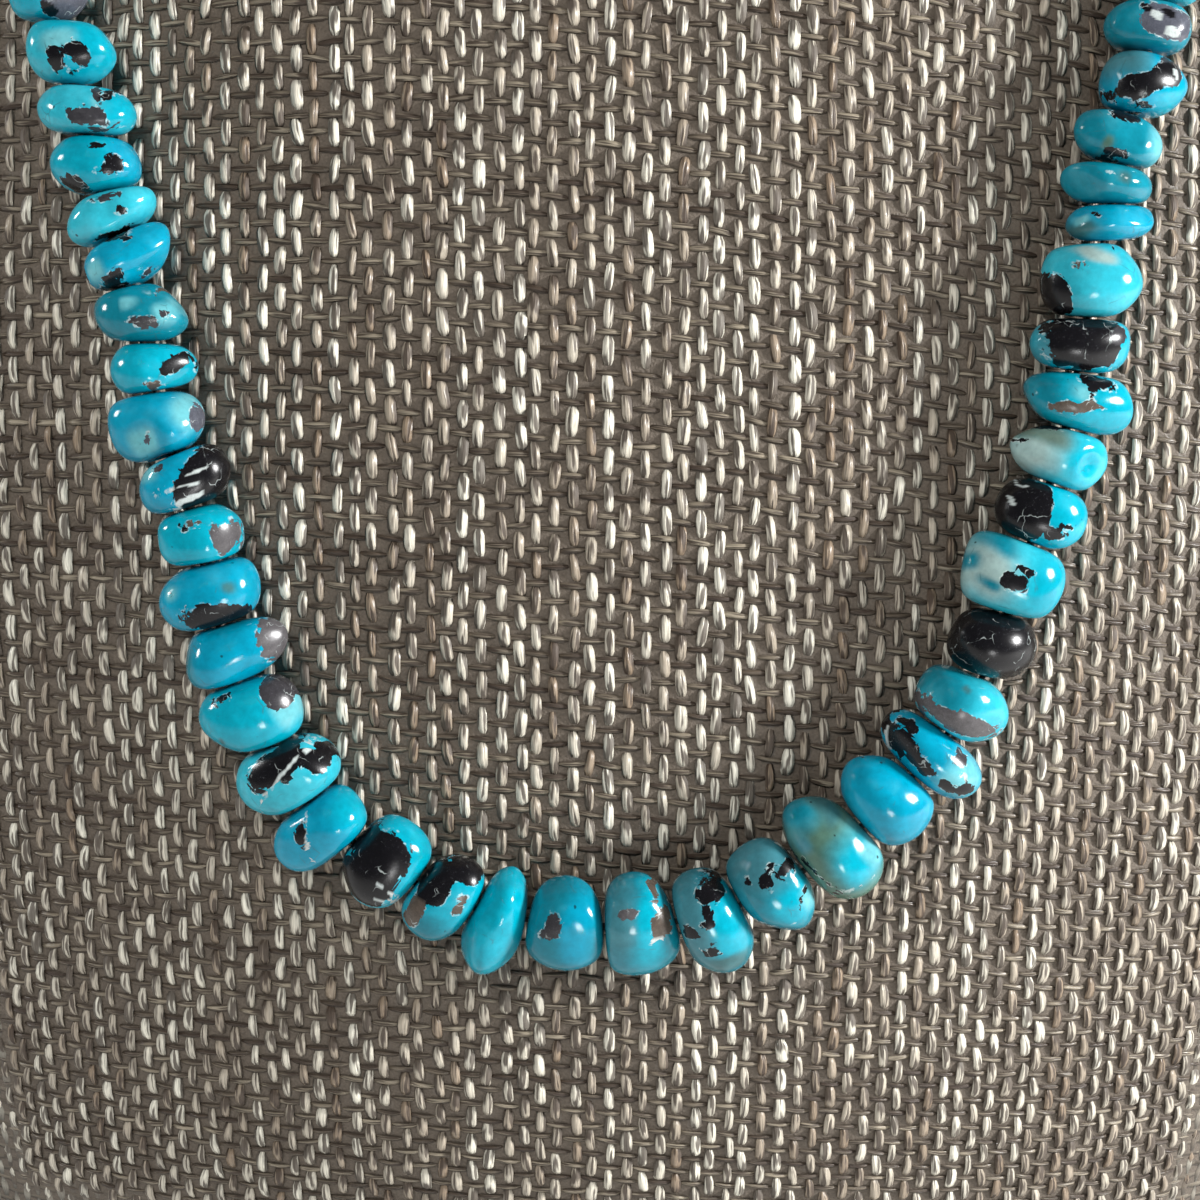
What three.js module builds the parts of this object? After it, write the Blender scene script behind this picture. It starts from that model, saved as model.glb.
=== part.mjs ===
// A necklace of polished turquoise nuggets on a fabric-covered neck bust.
// Millimetres. +Z is up, the bust faces -Y and the origin is the middle of its base.
// The necklace is one closed loop: forty stones across the chest are drilled pieces of
// their own on a thread, and the stones over the shoulders and round the neck are
// joined along the thread in four runs that meet at a barrel clasp.

import * as THREE from "three";
import { ParametricGeometry } from "three/addons/geometries/ParametricGeometry.js";

// ---- Driving dimensions ----

const THREAD_LIFT = 4.3; // from the bust's surface to the middle of the thread
const THREAD_RADIUS = 0.3;
const BORE_RADIUS = 0.75;
const STONE_GAP = 0.3; // between neighbours, and between a stone and what it lies on
const LOWEST_JOINT = 0.4; // along the thread from the middle of the chest, between stones 20 and 21
const STONES_PER_RUN = 12;
const RUN_STONE_WIDTH = 7.8;
const RUN_STONE_DEPTH = 6.9;
const RUN_WAIST_RADIUS = 0.9;
const CLASP_LENGTH = 14;
const CLASP_RADIUS = 2.3;
const CLASP_NOZZLE_RADIUS = 1.1;
const BUST_HEIGHT = 248;
const TOP_EDGE = 5; // how far the bust's rounded top edge comes in
const BASE_EDGE = 1.5; // and its base's edge

// The bust's level sections are ellipses. Each row is one section.
const BUST_SECTIONS = [
  { height: 0, halfWidth: 84, front: -52, back: 52 },
  { height: 25, halfWidth: 88, front: -56.5, back: 54 },
  { height: 50, halfWidth: 90.5, front: -58, back: 55 },
  { height: 75, halfWidth: 92.5, front: -55, back: 56 },
  { height: 100, halfWidth: 94, front: -48.5, back: 57 },
  { height: 125, halfWidth: 94, front: -39.5, back: 59 },
  { height: 150, halfWidth: 87, front: -28.5, back: 61.5 },
  { height: 165, halfWidth: 75, front: -22.5, back: 63.5 },
  { height: 180, halfWidth: 60, front: -18.5, back: 65 },
  { height: 195, halfWidth: 50, front: -16, back: 65.5 },
  { height: 210, halfWidth: 45.5, front: -15, back: 65 },
  { height: 248, halfWidth: 44, front: -15, back: 64.5 },
];

// Where the thread runs over the bust, from the middle of the chest round by +X.
// The angle is 0 at the front and 90 on the +X side, in degrees.
const ROUTE = [
  { angle: 0, height: 73.6 },
  { angle: 7.8, height: 75.3 },
  { angle: 15, height: 82.6 },
  { angle: 20.5, height: 92.5 },
  { angle: 23.2, height: 103.5 },
  { angle: 25.2, height: 113.5 },
  { angle: 26.8, height: 123 },
  { angle: 28.8, height: 133 },
  { angle: 31.8, height: 143.5 },
  { angle: 36.3, height: 153.5 },
  { angle: 44, height: 165 },
  { angle: 57, height: 176 },
  { angle: 74, height: 182 },
  { angle: 92, height: 185.5 },
  { angle: 115, height: 188.5 },
  { angle: 145, height: 190.5 },
  { angle: 180, height: 191 },
  { angle: 215, height: 190.5 },
  { angle: 245, height: 188.5 },
  { angle: 268, height: 185.5 },
  { angle: 286, height: 182 },
  { angle: 303, height: 176 },
  { angle: 316, height: 165 },
  { angle: 324.7, height: 153.5 },
  { angle: 329.2, height: 142.5 },
  { angle: 332.5, height: 132.5 },
  { angle: 335, height: 122 },
  { angle: 337, height: 112 },
  { angle: 338.5, height: 102.5 },
  { angle: 340.3, height: 92.5 },
  { angle: 344.8, height: 82.6 },
  { angle: 351.8, height: 75.7 },
];

// The stones across the chest, from the -X side down to the middle and up to the +X side.
// pitch is the length each takes on the thread. shift moves its middle towards the inside
// of the loop, turn leans its long axis along the thread in degrees, and square is the
// power of its outline: 2 is an ellipse, and more is boxier.
const STONES = [
  { pitch: 6.2, width: 7.6, depth: 7.0, shift: 0.3, turn: 16, square: 2.2, tone: "rock" },
  { pitch: 5.9, width: 8.0, depth: 7.2, shift: 1.1, turn: 16, square: 2.3, tone: "sky" },
  { pitch: 4.7, width: 8.8, depth: 7.0, shift: 0.4, turn: 24, square: 2.2, tone: "aqua" },
  { pitch: 5.4, width: 8.2, depth: 7.2, shift: 0.2, turn: 18, square: 2.3, tone: "sky" },
  { pitch: 4.2, width: 8.7, depth: 6.4, shift: 0.3, turn: -12, square: 2.2, tone: "aqua" },
  { pitch: 4.4, width: 8.2, depth: 7.4, shift: 1.0, turn: -18, square: 2.2, tone: "sky" },
  { pitch: 5.1, width: 8.4, depth: 6.8, shift: 0.8, turn: 16, square: 2.2, tone: "teal" },
  { pitch: 4.5, width: 7.7, depth: 6.6, shift: 0.6, turn: 14, square: 2.2, tone: "sky" },
  { pitch: 5.9, width: 8.3, depth: 7.6, shift: -0.9, turn: -2, square: 2.4, tone: "sky" },
  { pitch: 4.9, width: 8.0, depth: 6.8, shift: 0.1, turn: -14, square: 2.3, tone: "sky" },
  { pitch: 5.1, width: 7.3, depth: 6.6, shift: 0.5, turn: 8, square: 2.8, tone: "sky" },
  { pitch: 5.8, width: 9.0, depth: 7.4, shift: 0.2, turn: -3, square: 2.3, tone: "sky" },
  { pitch: 5.4, width: 10.0, depth: 7.4, shift: 1.4, turn: -5, square: 2.2, tone: "sky" },
  { pitch: 6.6, width: 9.9, depth: 7.6, shift: 0.5, turn: 14, square: 2.4, tone: "sky" },
  { pitch: 6.2, width: 9.8, depth: 7.6, shift: -0.3, turn: 9, square: 2.3, tone: "aqua" },
  { pitch: 5.6, width: 9.6, depth: 7.6, shift: -1.4, turn: 5, square: 2.4, tone: "teal" },
  { pitch: 6.8, width: 8.1, depth: 7.2, shift: -0.1, turn: 8, square: 2.3, tone: "rock" },
  { pitch: 5.9, width: 9.5, depth: 7.2, shift: 0.1, turn: 14, square: 2.4, tone: "rock" },
  { pitch: 5.0, width: 10.4, depth: 7.6, shift: -0.6, turn: 8, square: 2.1, tone: "sky" },
  { pitch: 7.1, width: 8.8, depth: 7.2, shift: 0.1, turn: -3, square: 2.2, tone: "teal" },
  { pitch: 6.7, width: 9.8, depth: 7.4, shift: -0.4, turn: -6, square: 2.3, tone: "teal" },
  { pitch: 6.1, width: 10.2, depth: 7.4, shift: -0.7, turn: -10, square: 2.3, tone: "teal" },
  { pitch: 6.6, width: 9.2, depth: 7.4, shift: 0.2, turn: -7, square: 2.4, tone: "teal" },
  { pitch: 6.7, width: 11.3, depth: 7.8, shift: 0.4, turn: -4, square: 2.3, tone: "teal" },
  { pitch: 6.5, width: 9.8, depth: 7.8, shift: 0.6, turn: 2, square: 2.2, tone: "sky" },
  { pitch: 5.0, width: 11.6, depth: 7.6, shift: 0.0, turn: 2, square: 2.2, tone: "sky" },
  { pitch: 6.0, width: 9.7, depth: 7.4, shift: 0.0, turn: -4, square: 2.4, tone: "aqua" },
  { pitch: 6.3, width: 8.1, depth: 7.2, shift: 0.2, turn: -8, square: 2.2, tone: "rock" },
  { pitch: 6.6, width: 9.2, depth: 7.6, shift: 0.8, turn: 5, square: 2.3, tone: "aqua" },
  { pitch: 5.7, width: 8.3, depth: 7.2, shift: -0.4, turn: 3, square: 2.4, tone: "rock" },
  { pitch: 5.1, width: 9.7, depth: 7.0, shift: 0.2, turn: 4, square: 2.2, tone: "aqua" },
  { pitch: 5.1, width: 10.5, depth: 7.2, shift: -0.6, turn: 0, square: 2.2, tone: "sky" },
  { pitch: 4.9, width: 9.0, depth: 6.8, shift: 0.2, turn: -8, square: 2.2, tone: "rock" },
  { pitch: 6.9, width: 9.4, depth: 8.2, shift: 0.3, turn: -11, square: 2.3, tone: "aqua" },
  { pitch: 3.4, width: 8.2, depth: 6.8, shift: -0.3, turn: -18, square: 2.2, tone: "sky" },
  { pitch: 3.5, width: 8.2, depth: 6.2, shift: 1.0, turn: -7, square: 2.2, tone: "teal" },
  { pitch: 4.8, width: 8.1, depth: 6.6, shift: 0.5, turn: -1, square: 2.2, tone: "teal" },
  { pitch: 5.7, width: 8.3, depth: 7.2, shift: -0.9, turn: -8, square: 2.3, tone: "teal" },
  { pitch: 4.6, width: 7.6, depth: 6.8, shift: 0.5, turn: -10, square: 2.3, tone: "teal" },
  { pitch: 4.8, width: 7.7, depth: 6.8, shift: 0.5, turn: -9, square: 2.2, tone: "sky" },
];

// ---- Materials ----

function finish(color, roughness, metalness = 0) {
  return new THREE.MeshStandardMaterial({ color, roughness, metalness });
}

const STONE_FINISHES = {
  sky: finish(0x22b4cc, 0.2),
  teal: finish(0x2a9aa5, 0.25),
  aqua: finish(0x6cc4cc, 0.25),
  rock: finish(0x34353a, 0.25),
};
const clothFinish = finish(0x8d8273, 0.8);
const threadFinish = finish(0x24282c, 0.7);
const claspFinish = finish(0xb9bcc0, 0.3, 1);

// ---- The bust's form ----

// A column of BUST_SECTIONS at any height: a smooth curve through its rows.
function sectionValue(column, height) {
  const rows = BUST_SECTIONS;
  const last = rows.length - 1;
  const level = THREE.MathUtils.clamp(height, rows[0].height, rows[last].height);
  const slope = (i) => {
    const low = rows[Math.max(i - 1, 0)];
    const high = rows[Math.min(i + 1, last)];
    return (high[column] - low[column]) / (high.height - low.height);
  };
  let i = 0;
  while (i < last - 1 && rows[i + 1].height <= level) i += 1;
  const step = rows[i + 1].height - rows[i].height;
  const t = (level - rows[i].height) / step;
  return (
    (2 * t ** 3 - 3 * t ** 2 + 1) * rows[i][column] +
    (t ** 3 - 2 * t ** 2 + t) * step * slope(i) +
    (3 * t ** 2 - 2 * t ** 3) * rows[i + 1][column] +
    (t ** 3 - t ** 2) * step * slope(i + 1)
  );
}

function bustSection(height) {
  const front = sectionValue("front", height);
  const back = sectionValue("back", height);
  return {
    halfWidth: sectionValue("halfWidth", height),
    halfDepth: (back - front) / 2,
    middle: (back + front) / 2,
  };
}

function bustPoint(angle, height, inset = 0) {
  const section = bustSection(height);
  return new THREE.Vector3(
    (section.halfWidth - inset) * Math.sin(angle),
    section.middle - (section.halfDepth - inset) * Math.cos(angle),
    height,
  );
}

// 1 on the bust's surface, less inside it and more outside it.
function bustField(point) {
  const section = bustSection(point.z);
  return (
    (point.x / section.halfWidth) ** 2 +
    ((point.y - section.middle) / section.halfDepth) ** 2
  );
}

// The direction straight out of the bust near a point: the gradient of bustField.
function outward(point) {
  const small = 0.01;
  const slope = (axis) => {
    const ahead = point.clone();
    const behind = point.clone();
    ahead[axis] += small;
    behind[axis] -= small;
    return bustField(ahead) - bustField(behind);
  };
  return new THREE.Vector3(slope("x"), slope("y"), slope("z")).normalize();
}

// ---- The thread's route ----

const routePoints = ROUTE.map(({ angle, height }) => {
  const onCloth = bustPoint(THREE.MathUtils.degToRad(angle), height);
  return onCloth.addScaledVector(outward(onCloth), THREAD_LIFT);
});
const loop = new THREE.CatmullRomCurve3(routePoints, true, "catmullrom", 0.5);
loop.arcLengthDivisions = ROUTE.length * 40;
const loopLength = loop.getLength();

// The point of the loop at a distance along the thread from the middle of the chest.
function threadPoint(distance) {
  return loop.getPointAt(THREE.MathUtils.euclideanModulo(distance, loopLength) / loopLength);
}

function threadDirection(distance) {
  return loop.getTangentAt(THREE.MathUtils.euclideanModulo(distance, loopLength) / loopLength);
}

// A frame with x along the thread, z straight out of the bust and y towards the loop's inside.
function frameAt(origin, along) {
  const x = along.clone().normalize();
  const z = outward(origin);
  z.addScaledVector(x, -z.dot(x)).normalize();
  const y = new THREE.Vector3().crossVectors(z, x);
  return new THREE.Matrix4().makeBasis(x, y, z).setPosition(origin);
}

// ---- The drilled stones ----

// The distance of each end of a row of lengths that follow one another.
function runningTotals(lengths, start) {
  const totals = [start];
  for (const length of lengths) totals.push(totals[totals.length - 1] + length);
  return totals;
}

const chestPitches = STONES.map((stone) => stone.pitch);
const pitchesBeforeMiddle = chestPitches.slice(0, STONES.length / 2);
const chestStart = LOWEST_JOINT - pitchesBeforeMiddle.reduce((sum, pitch) => sum + pitch, 0);
const joints = runningTotals(chestPitches, chestStart);
const chestEnd = joints[joints.length - 1];

// The plane between two stones, leaning as they do on average.
function jointPlane(index) {
  const before = STONES[Math.max(index - 1, 0)];
  const after = STONES[Math.min(index, STONES.length - 1)];
  const lean = THREE.MathUtils.degToRad(-(before.turn + after.turn) / 2);
  const point = threadPoint(joints[index]);
  const frame = frameAt(point, threadDirection(joints[index]));
  const normal = new THREE.Vector3(Math.cos(lean), Math.sin(lean), 0).transformDirection(frame);
  return { point, normal };
}

const CLIP_POWER = 9; // how tightly a stone's outline turns where a plane clips it

// How far a stone's surface is from its middle in a direction given in the stone's own frame.
// The body is a superellipsoid turned about z. Each clip is a plane that the stone stays
// behind: adding its reach as a power rounds the edge that it makes.
function stoneReach(stone, clips, direction) {
  const turn = THREE.MathUtils.degToRad(stone.turn);
  const along = direction.x * Math.cos(turn) - direction.y * Math.sin(turn);
  const across = direction.y * Math.cos(turn) + direction.x * Math.sin(turn);
  const halfLength = stone.pitch * 0.56;
  const halfWidth = stone.width / 2 + Math.sign(across) * stone.shift;
  const body =
    Math.abs(along / halfLength) ** stone.square +
    Math.abs(across / halfWidth) ** stone.square +
    Math.abs((2 * direction.z) / stone.depth) ** stone.square;
  let total = body ** (CLIP_POWER / stone.square);
  for (const { normal, reach } of clips) {
    total += Math.max(direction.dot(normal) / reach, 0) ** CLIP_POWER;
  }
  return total ** (-1 / CLIP_POWER);
}

// A surface closed both ways: v goes from one mouth of the bore over the outside to the
// other mouth and back through the bore, and u goes round the thread. The bands between
// the mouths swing from one end of the stone to the other in equal angles.
function stoneGeometry(stone, clips) {
  const sides = 10;
  const bands = 6;
  const reach = (direction) => stoneReach(stone, clips, direction);
  const endReach = (sign) => reach(new THREE.Vector3(sign, 0, 0));
  const surface = (u, v, target) => {
    const around = -2 * Math.PI * u;
    const band = Math.round(v * bands) % bands;
    if (band === 0 || band === bands - 1) {
      const sign = band === 0 ? 1 : -1;
      const opening = Math.asin(BORE_RADIUS / endReach(sign));
      target.set(
        sign * Math.cos(opening),
        Math.sin(opening) * Math.cos(around),
        Math.sin(opening) * Math.sin(around),
      );
    } else {
      const swing = (Math.PI * band) / (bands - 1);
      target.set(
        stone.pitch * Math.cos(swing),
        stone.width * Math.sin(swing) * Math.cos(around),
        stone.depth * Math.sin(swing) * Math.sin(around),
      );
    }
    target.normalize().multiplyScalar(reach(target));
  };
  return new ParametricGeometry(surface, sides, bands);
}

function drilledStone(stone, index) {
  const start = jointPlane(index);
  const end = jointPlane(index + 1);
  const middle = start.point.clone().lerp(end.point, 0.5);
  const frame = frameAt(middle, end.point.clone().sub(start.point));
  const toStone = frame.clone().invert();
  const clip = (plane, side) => ({
    normal: plane.normal.clone().multiplyScalar(side).transformDirection(toStone),
    reach: side * plane.point.clone().sub(middle).dot(plane.normal) - STONE_GAP / 2,
  });
  const cloth = { normal: new THREE.Vector3(0, 0, -1), reach: THREAD_LIFT - STONE_GAP };
  const geometry = stoneGeometry(stone, [clip(start, -1), clip(end, 1), cloth]);
  const mesh = new THREE.Mesh(geometry, STONE_FINISHES[stone.tone]);
  mesh.name = "stone_" + String(index + 1).padStart(2, "0");
  mesh.applyMatrix4(frame);
  return mesh;
}

// ---- The runs of joined stones ----

// Lengths that vary from stone to stone and fill a stretch of the thread.
function runPitches(length, first) {
  const shares = Array.from({ length: STONES_PER_RUN }, (_, i) => 1 + 0.14 * Math.sin(2.4 * (first + i)));
  const total = shares.reduce((sum, share) => sum + share, 0);
  return shares.map((share) => (share * length) / total);
}

// One solid of stones in a row. v goes along the thread, in five steps to a stone, and
// u goes round it. Each stone swells from the waist by a power of its half length.
function runGeometry(start, end, first) {
  const sides = 8;
  const stepsPerStone = 5;
  const swell = [-1, -0.84, -0.36, 0.36, 0.84];
  const totals = runningTotals(runPitches(end - start, first), start);
  const rings = STONES_PER_RUN * stepsPerStone;
  const surface = (u, v, target) => {
    const ring = THREE.MathUtils.clamp(Math.round(v * (rings + 2)) - 1, 0, rings);
    const onAxis = Math.round(v * (rings + 2)) % (rings + 2) === 0;
    const stone = Math.min(Math.floor(ring / stepsPerStone), STONES_PER_RUN - 1);
    const place = ring === rings ? 1 : swell[ring % stepsPerStone];
    const distance = totals[stone] + ((place + 1) / 2) * (totals[stone + 1] - totals[stone]);
    const full = (1 - Math.abs(place) ** 2.5) ** (1 / 2.5);
    const size = full * (1 + 0.06 * Math.sin(1.7 * (first + stone)));
    const halfWidth = onAxis ? 0 : Math.max((size * RUN_STONE_WIDTH) / 2, RUN_WAIST_RADIUS);
    const halfDepth = onAxis ? 0 : Math.max((size * RUN_STONE_DEPTH) / 2, RUN_WAIST_RADIUS);
    const around = 2 * Math.PI * u;
    target.set(0, halfWidth * Math.cos(around), halfDepth * Math.sin(around));
    const frame = frameAt(threadPoint(distance), threadDirection(distance));
    target.applyMatrix4(frame);
  };
  return new ParametricGeometry(surface, sides, rings + 2);
}

function stoneRun(name, start, end, first) {
  const geometry = runGeometry(start + STONE_GAP / 2, end - STONE_GAP / 2, first);
  const mesh = new THREE.Mesh(geometry, STONE_FINISHES.sky);
  mesh.name = name;
  return mesh;
}

// ---- Thread, clasp and bust ----

// The stretch of the loop between two distances, as a curve of its own.
class ThreadStretch extends THREE.Curve {
  constructor(start, end) {
    super();
    this.start = start;
    this.end = end;
  }

  getPoint(t, target = new THREE.Vector3()) {
    return target.copy(threadPoint(this.start + t * (this.end - this.start)));
  }
}

function polygon(radius, sides) {
  const corners = Array.from({ length: sides }, (_, i) => {
    const angle = (2 * Math.PI * i) / sides;
    return new THREE.Vector2(radius * Math.cos(angle), radius * Math.sin(angle));
  });
  return new THREE.Shape(corners);
}

function threadMesh() {
  const path = new ThreadStretch(chestStart, chestEnd);
  const geometry = new THREE.ExtrudeGeometry(polygon(THREAD_RADIUS, 6), {
    steps: 60,
    bevelEnabled: false,
    extrudePath: path,
  });
  const mesh = new THREE.Mesh(geometry, threadFinish);
  mesh.name = "thread";
  return mesh;
}

function claspMesh(distance) {
  const half = CLASP_LENGTH / 2;
  const profile = [
    [0, -half],
    [CLASP_NOZZLE_RADIUS, -half],
    [CLASP_NOZZLE_RADIUS, -0.8 * half],
    [CLASP_RADIUS, -0.55 * half],
    [CLASP_RADIUS, 0.55 * half],
    [CLASP_NOZZLE_RADIUS, 0.8 * half],
    [CLASP_NOZZLE_RADIUS, half],
    [0, half],
  ].map(([radius, height]) => new THREE.Vector2(radius, height));
  const mesh = new THREE.Mesh(new THREE.LatheGeometry(profile, 12), claspFinish);
  mesh.name = "clasp";
  mesh.rotation.z = -Math.PI / 2;
  const place = new THREE.Group();
  place.applyMatrix4(frameAt(threadPoint(distance), threadDirection(distance)));
  place.add(mesh);
  return place;
}

// The bust's outer form: v goes from the middle of the base up the side to the middle of
// the flat top, and u goes round.
function bustMesh() {
  const sides = 40;
  const levels = [20, 40, 60, 80, 100, 118, 134, 146, 156, 165, 173, 181, 189, 197, 206, 220];
  const rows = [
    { height: 0, inset: BASE_EDGE },
    { height: BASE_EDGE, inset: 0 },
    ...levels.map((height) => ({ height, inset: 0 })),
    { height: BUST_HEIGHT - TOP_EDGE, inset: 0 },
    { height: BUST_HEIGHT - TOP_EDGE * 0.3, inset: TOP_EDGE * 0.3 },
    { height: BUST_HEIGHT, inset: TOP_EDGE },
  ];
  const bands = rows.length + 1;
  const surface = (u, v, target) => {
    const band = Math.round(v * bands);
    const { height, inset } = rows[THREE.MathUtils.clamp(band - 1, 0, rows.length - 1)];
    if (band === 0 || band === bands) target.set(0, bustSection(height).middle, height);
    else target.copy(bustPoint(2 * Math.PI * u, height, inset));
  };
  const mesh = new THREE.Mesh(new ParametricGeometry(surface, sides, bands), clothFinish);
  mesh.name = "neck_bust";
  return mesh;
}

// ---- The assembly ----

const claspAt = (chestEnd + chestStart + loopLength) / 2;
const runStart = chestEnd;
const runEnd = claspAt - CLASP_LENGTH / 2;
const runMiddle = (runStart + runEnd) / 2;
const farStart = claspAt + CLASP_LENGTH / 2;
const farEnd = chestStart + loopLength;
const farMiddle = (farStart + farEnd) / 2;

const necklace = new THREE.Group();
necklace.add(...STONES.map(drilledStone));
necklace.add(threadMesh());
necklace.add(stoneRun("right_shoulder_stones", runStart, runMiddle, 0));
necklace.add(stoneRun("right_neck_stones", runMiddle, runEnd, STONES_PER_RUN));
necklace.add(claspMesh(claspAt));
necklace.add(stoneRun("left_neck_stones", farStart, farMiddle, 2 * STONES_PER_RUN));
necklace.add(stoneRun("left_shoulder_stones", farMiddle, farEnd, 3 * STONES_PER_RUN));

const display = new THREE.Group();
display.add(bustMesh(), necklace);

export default display;
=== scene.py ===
"""Beaded necklace on a neck bust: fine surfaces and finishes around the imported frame.

Tables are in millimetres and degrees, and meshes are made in metres. A stone has axes of its own:
x along the thread from the left strand's top end, z straight out of the bust, and y towards the
inside of the loop.
"""

import math

import bpy
import numpy as np
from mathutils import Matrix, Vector


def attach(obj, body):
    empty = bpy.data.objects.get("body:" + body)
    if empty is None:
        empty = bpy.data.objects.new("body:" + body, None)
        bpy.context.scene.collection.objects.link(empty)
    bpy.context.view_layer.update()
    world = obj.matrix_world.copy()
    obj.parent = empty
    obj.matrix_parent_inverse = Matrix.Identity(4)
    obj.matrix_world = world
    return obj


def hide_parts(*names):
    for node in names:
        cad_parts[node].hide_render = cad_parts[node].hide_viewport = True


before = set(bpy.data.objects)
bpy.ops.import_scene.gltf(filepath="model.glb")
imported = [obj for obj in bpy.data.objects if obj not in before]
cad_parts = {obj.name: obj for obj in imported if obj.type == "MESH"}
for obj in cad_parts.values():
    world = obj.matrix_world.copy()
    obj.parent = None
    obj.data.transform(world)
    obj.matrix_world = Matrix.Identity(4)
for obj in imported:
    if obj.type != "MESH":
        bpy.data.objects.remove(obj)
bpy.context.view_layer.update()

MM = 0.001

# The bust's outline at each height: half its width, its front and its back.
BUST_SECTIONS = np.array([
    # height, half_width, front, back
    (0, 84, -52, 52),
    (25, 88, -56.5, 54),
    (50, 90.5, -58, 55),
    (75, 92.5, -55, 56),
    (100, 94, -48.5, 57),
    (125, 94, -39.5, 59),
    (150, 87, -28.5, 61.5),
    (165, 75, -22.5, 63.5),
    (180, 60, -18.5, 65),
    (195, 50, -16, 65.5),
    (210, 45.5, -15, 65),
    (248, 44, -15, 64.5),
])

# The thread's way round the bust, from the lowest point towards +X.
ROUTE = np.array([
    # angle, height
    (0, 73.6), (7.8, 75.3), (15, 82.6), (20.5, 92.5), (23.2, 103.5), (25.2, 113.5), (26.8, 123),
    (28.8, 133), (31.8, 143.5), (36.3, 153.5), (44, 165), (57, 176), (74, 182), (92, 185.5),
    (115, 188.5), (145, 190.5), (180, 191), (215, 190.5), (245, 188.5), (268, 185.5), (286, 182),
    (303, 176), (316, 165), (324.7, 153.5), (329.2, 142.5), (332.5, 132.5), (335, 122), (337, 112),
    (338.5, 102.5), (340.3, 92.5), (344.8, 82.6), (351.8, 75.7),
])

THREAD_LIFT = 4.3
THREAD_RADIUS = 0.3
LOWEST_JOINT = 0.4
STONE_GAP = 0.05
BORE_RADIUS = 0.5
CLOTH_ROOM = 0.7
STONES_PER_RUN = 12

# The forty stones across the chest, from the left strand's top end round to the right one's.
STONES = [
    # pitch, width, depth, shift, turn, square, tone
    (6.2, 7.6, 7.0, 0.3, 16, 2.2, "sky"),
    (5.9, 8.0, 7.2, 1.1, 16, 2.3, "sky"),
    (4.7, 8.8, 7.0, 0.4, 24, 2.2, "aqua"),
    (5.4, 8.2, 7.2, 0.2, 18, 2.3, "sky"),
    (4.2, 8.7, 6.4, 0.3, -12, 2.2, "aqua"),
    (4.4, 8.2, 7.4, 1.0, -18, 2.2, "deep"),
    (5.1, 8.4, 6.8, 0.8, 16, 2.2, "teal"),
    (4.5, 7.7, 6.6, 0.6, 14, 2.2, "sky"),
    (5.9, 8.3, 7.6, -0.9, -2, 2.4, "deep"),
    (4.9, 8.0, 6.8, 0.1, -14, 2.3, "deep"),
    (5.1, 7.3, 6.6, 0.5, 8, 2.8, "sky"),
    (5.8, 9.0, 7.4, 0.2, -3, 2.3, "deep"),
    (5.4, 10.0, 7.4, 1.4, -5, 2.2, "deep"),
    (6.6, 9.9, 7.6, 0.5, 14, 2.4, "sky"),
    (6.2, 9.8, 7.6, -0.3, 9, 2.3, "aqua"),
    (5.6, 9.6, 7.6, -1.4, 5, 2.4, "deep"),
    (6.8, 8.1, 7.2, -0.1, 8, 2.3, "sky"),
    (5.9, 9.5, 7.2, 0.1, 14, 2.4, "sky"),
    (5.0, 10.4, 7.6, -0.6, 8, 2.1, "sky"),
    (7.1, 8.8, 7.2, 0.1, -3, 2.2, "teal"),
    (6.7, 9.8, 7.4, -0.4, -6, 2.3, "teal"),
    (6.1, 10.2, 7.4, -0.7, -10, 2.3, "teal"),
    (6.6, 9.2, 7.4, 0.2, -7, 2.4, "teal"),
    (6.7, 11.3, 7.8, 0.4, -4, 2.3, "olive"),
    (6.5, 9.8, 7.8, 0.6, 2, 2.2, "deep"),
    (5.0, 11.6, 7.6, 0.0, 2, 2.2, "deep"),
    (6.0, 9.7, 7.4, 0.0, -4, 2.4, "aqua"),
    (6.3, 8.1, 7.2, 0.2, -8, 2.2, "sky"),
    (6.6, 9.2, 7.6, 0.8, 5, 2.3, "aqua"),
    (5.7, 8.3, 7.2, -0.4, 3, 2.4, "sky"),
    (5.1, 9.7, 7.0, 0.2, 4, 2.2, "aqua"),
    (5.1, 10.5, 7.2, -0.6, 0, 2.2, "sky"),
    (4.9, 9.0, 6.8, 0.2, -8, 2.2, "sky"),
    (6.9, 9.4, 8.2, 0.3, -11, 2.3, "aqua"),
    (3.4, 8.2, 6.8, -0.3, -18, 2.2, "deep"),
    (3.5, 8.2, 6.2, 1.0, -7, 2.2, "teal"),
    (4.8, 8.1, 6.6, 0.5, -1, 2.2, "teal"),
    (5.7, 8.3, 7.2, -0.9, -8, 2.3, "deep"),
    (4.6, 7.6, 6.8, 0.5, -10, 2.3, "teal"),
    (4.8, 7.7, 6.8, 0.5, -9, 2.2, "aqua"),
]
PITCH = np.array([row[0] for row in STONES])
TURN = np.array([row[4] for row in STONES], float)

# Linear colours of turquoise and of the rock it grew in.
COLOURS = {
    "sky": (0.0, 0.33, 0.44),
    "aqua": (0.025, 0.40, 0.50),
    "deep": (0.0, 0.28, 0.42),
    "teal": (0.003, 0.20, 0.27),
    "dull": (0.05, 0.20, 0.24),
    "murky": (0.035, 0.12, 0.13),
    "olive": (0.075, 0.16, 0.12),
    "sage": (0.11, 0.17, 0.14),
    "cream": (0.30, 0.43, 0.41),
    "pale": (0.13, 0.44, 0.49),
    "white": (0.58, 0.64, 0.62),
    "black": (0.005, 0.0045, 0.006),
    "grey": (0.042, 0.040, 0.045),
    "slate": (0.095, 0.10, 0.125),
    "taupe": (0.105, 0.098, 0.102),
    "brown": (0.10, 0.078, 0.062),
    "ash": (0.22, 0.23, 0.25),
}
ROCKS = ("white", "black", "grey", "slate", "taupe", "brown")

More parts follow.
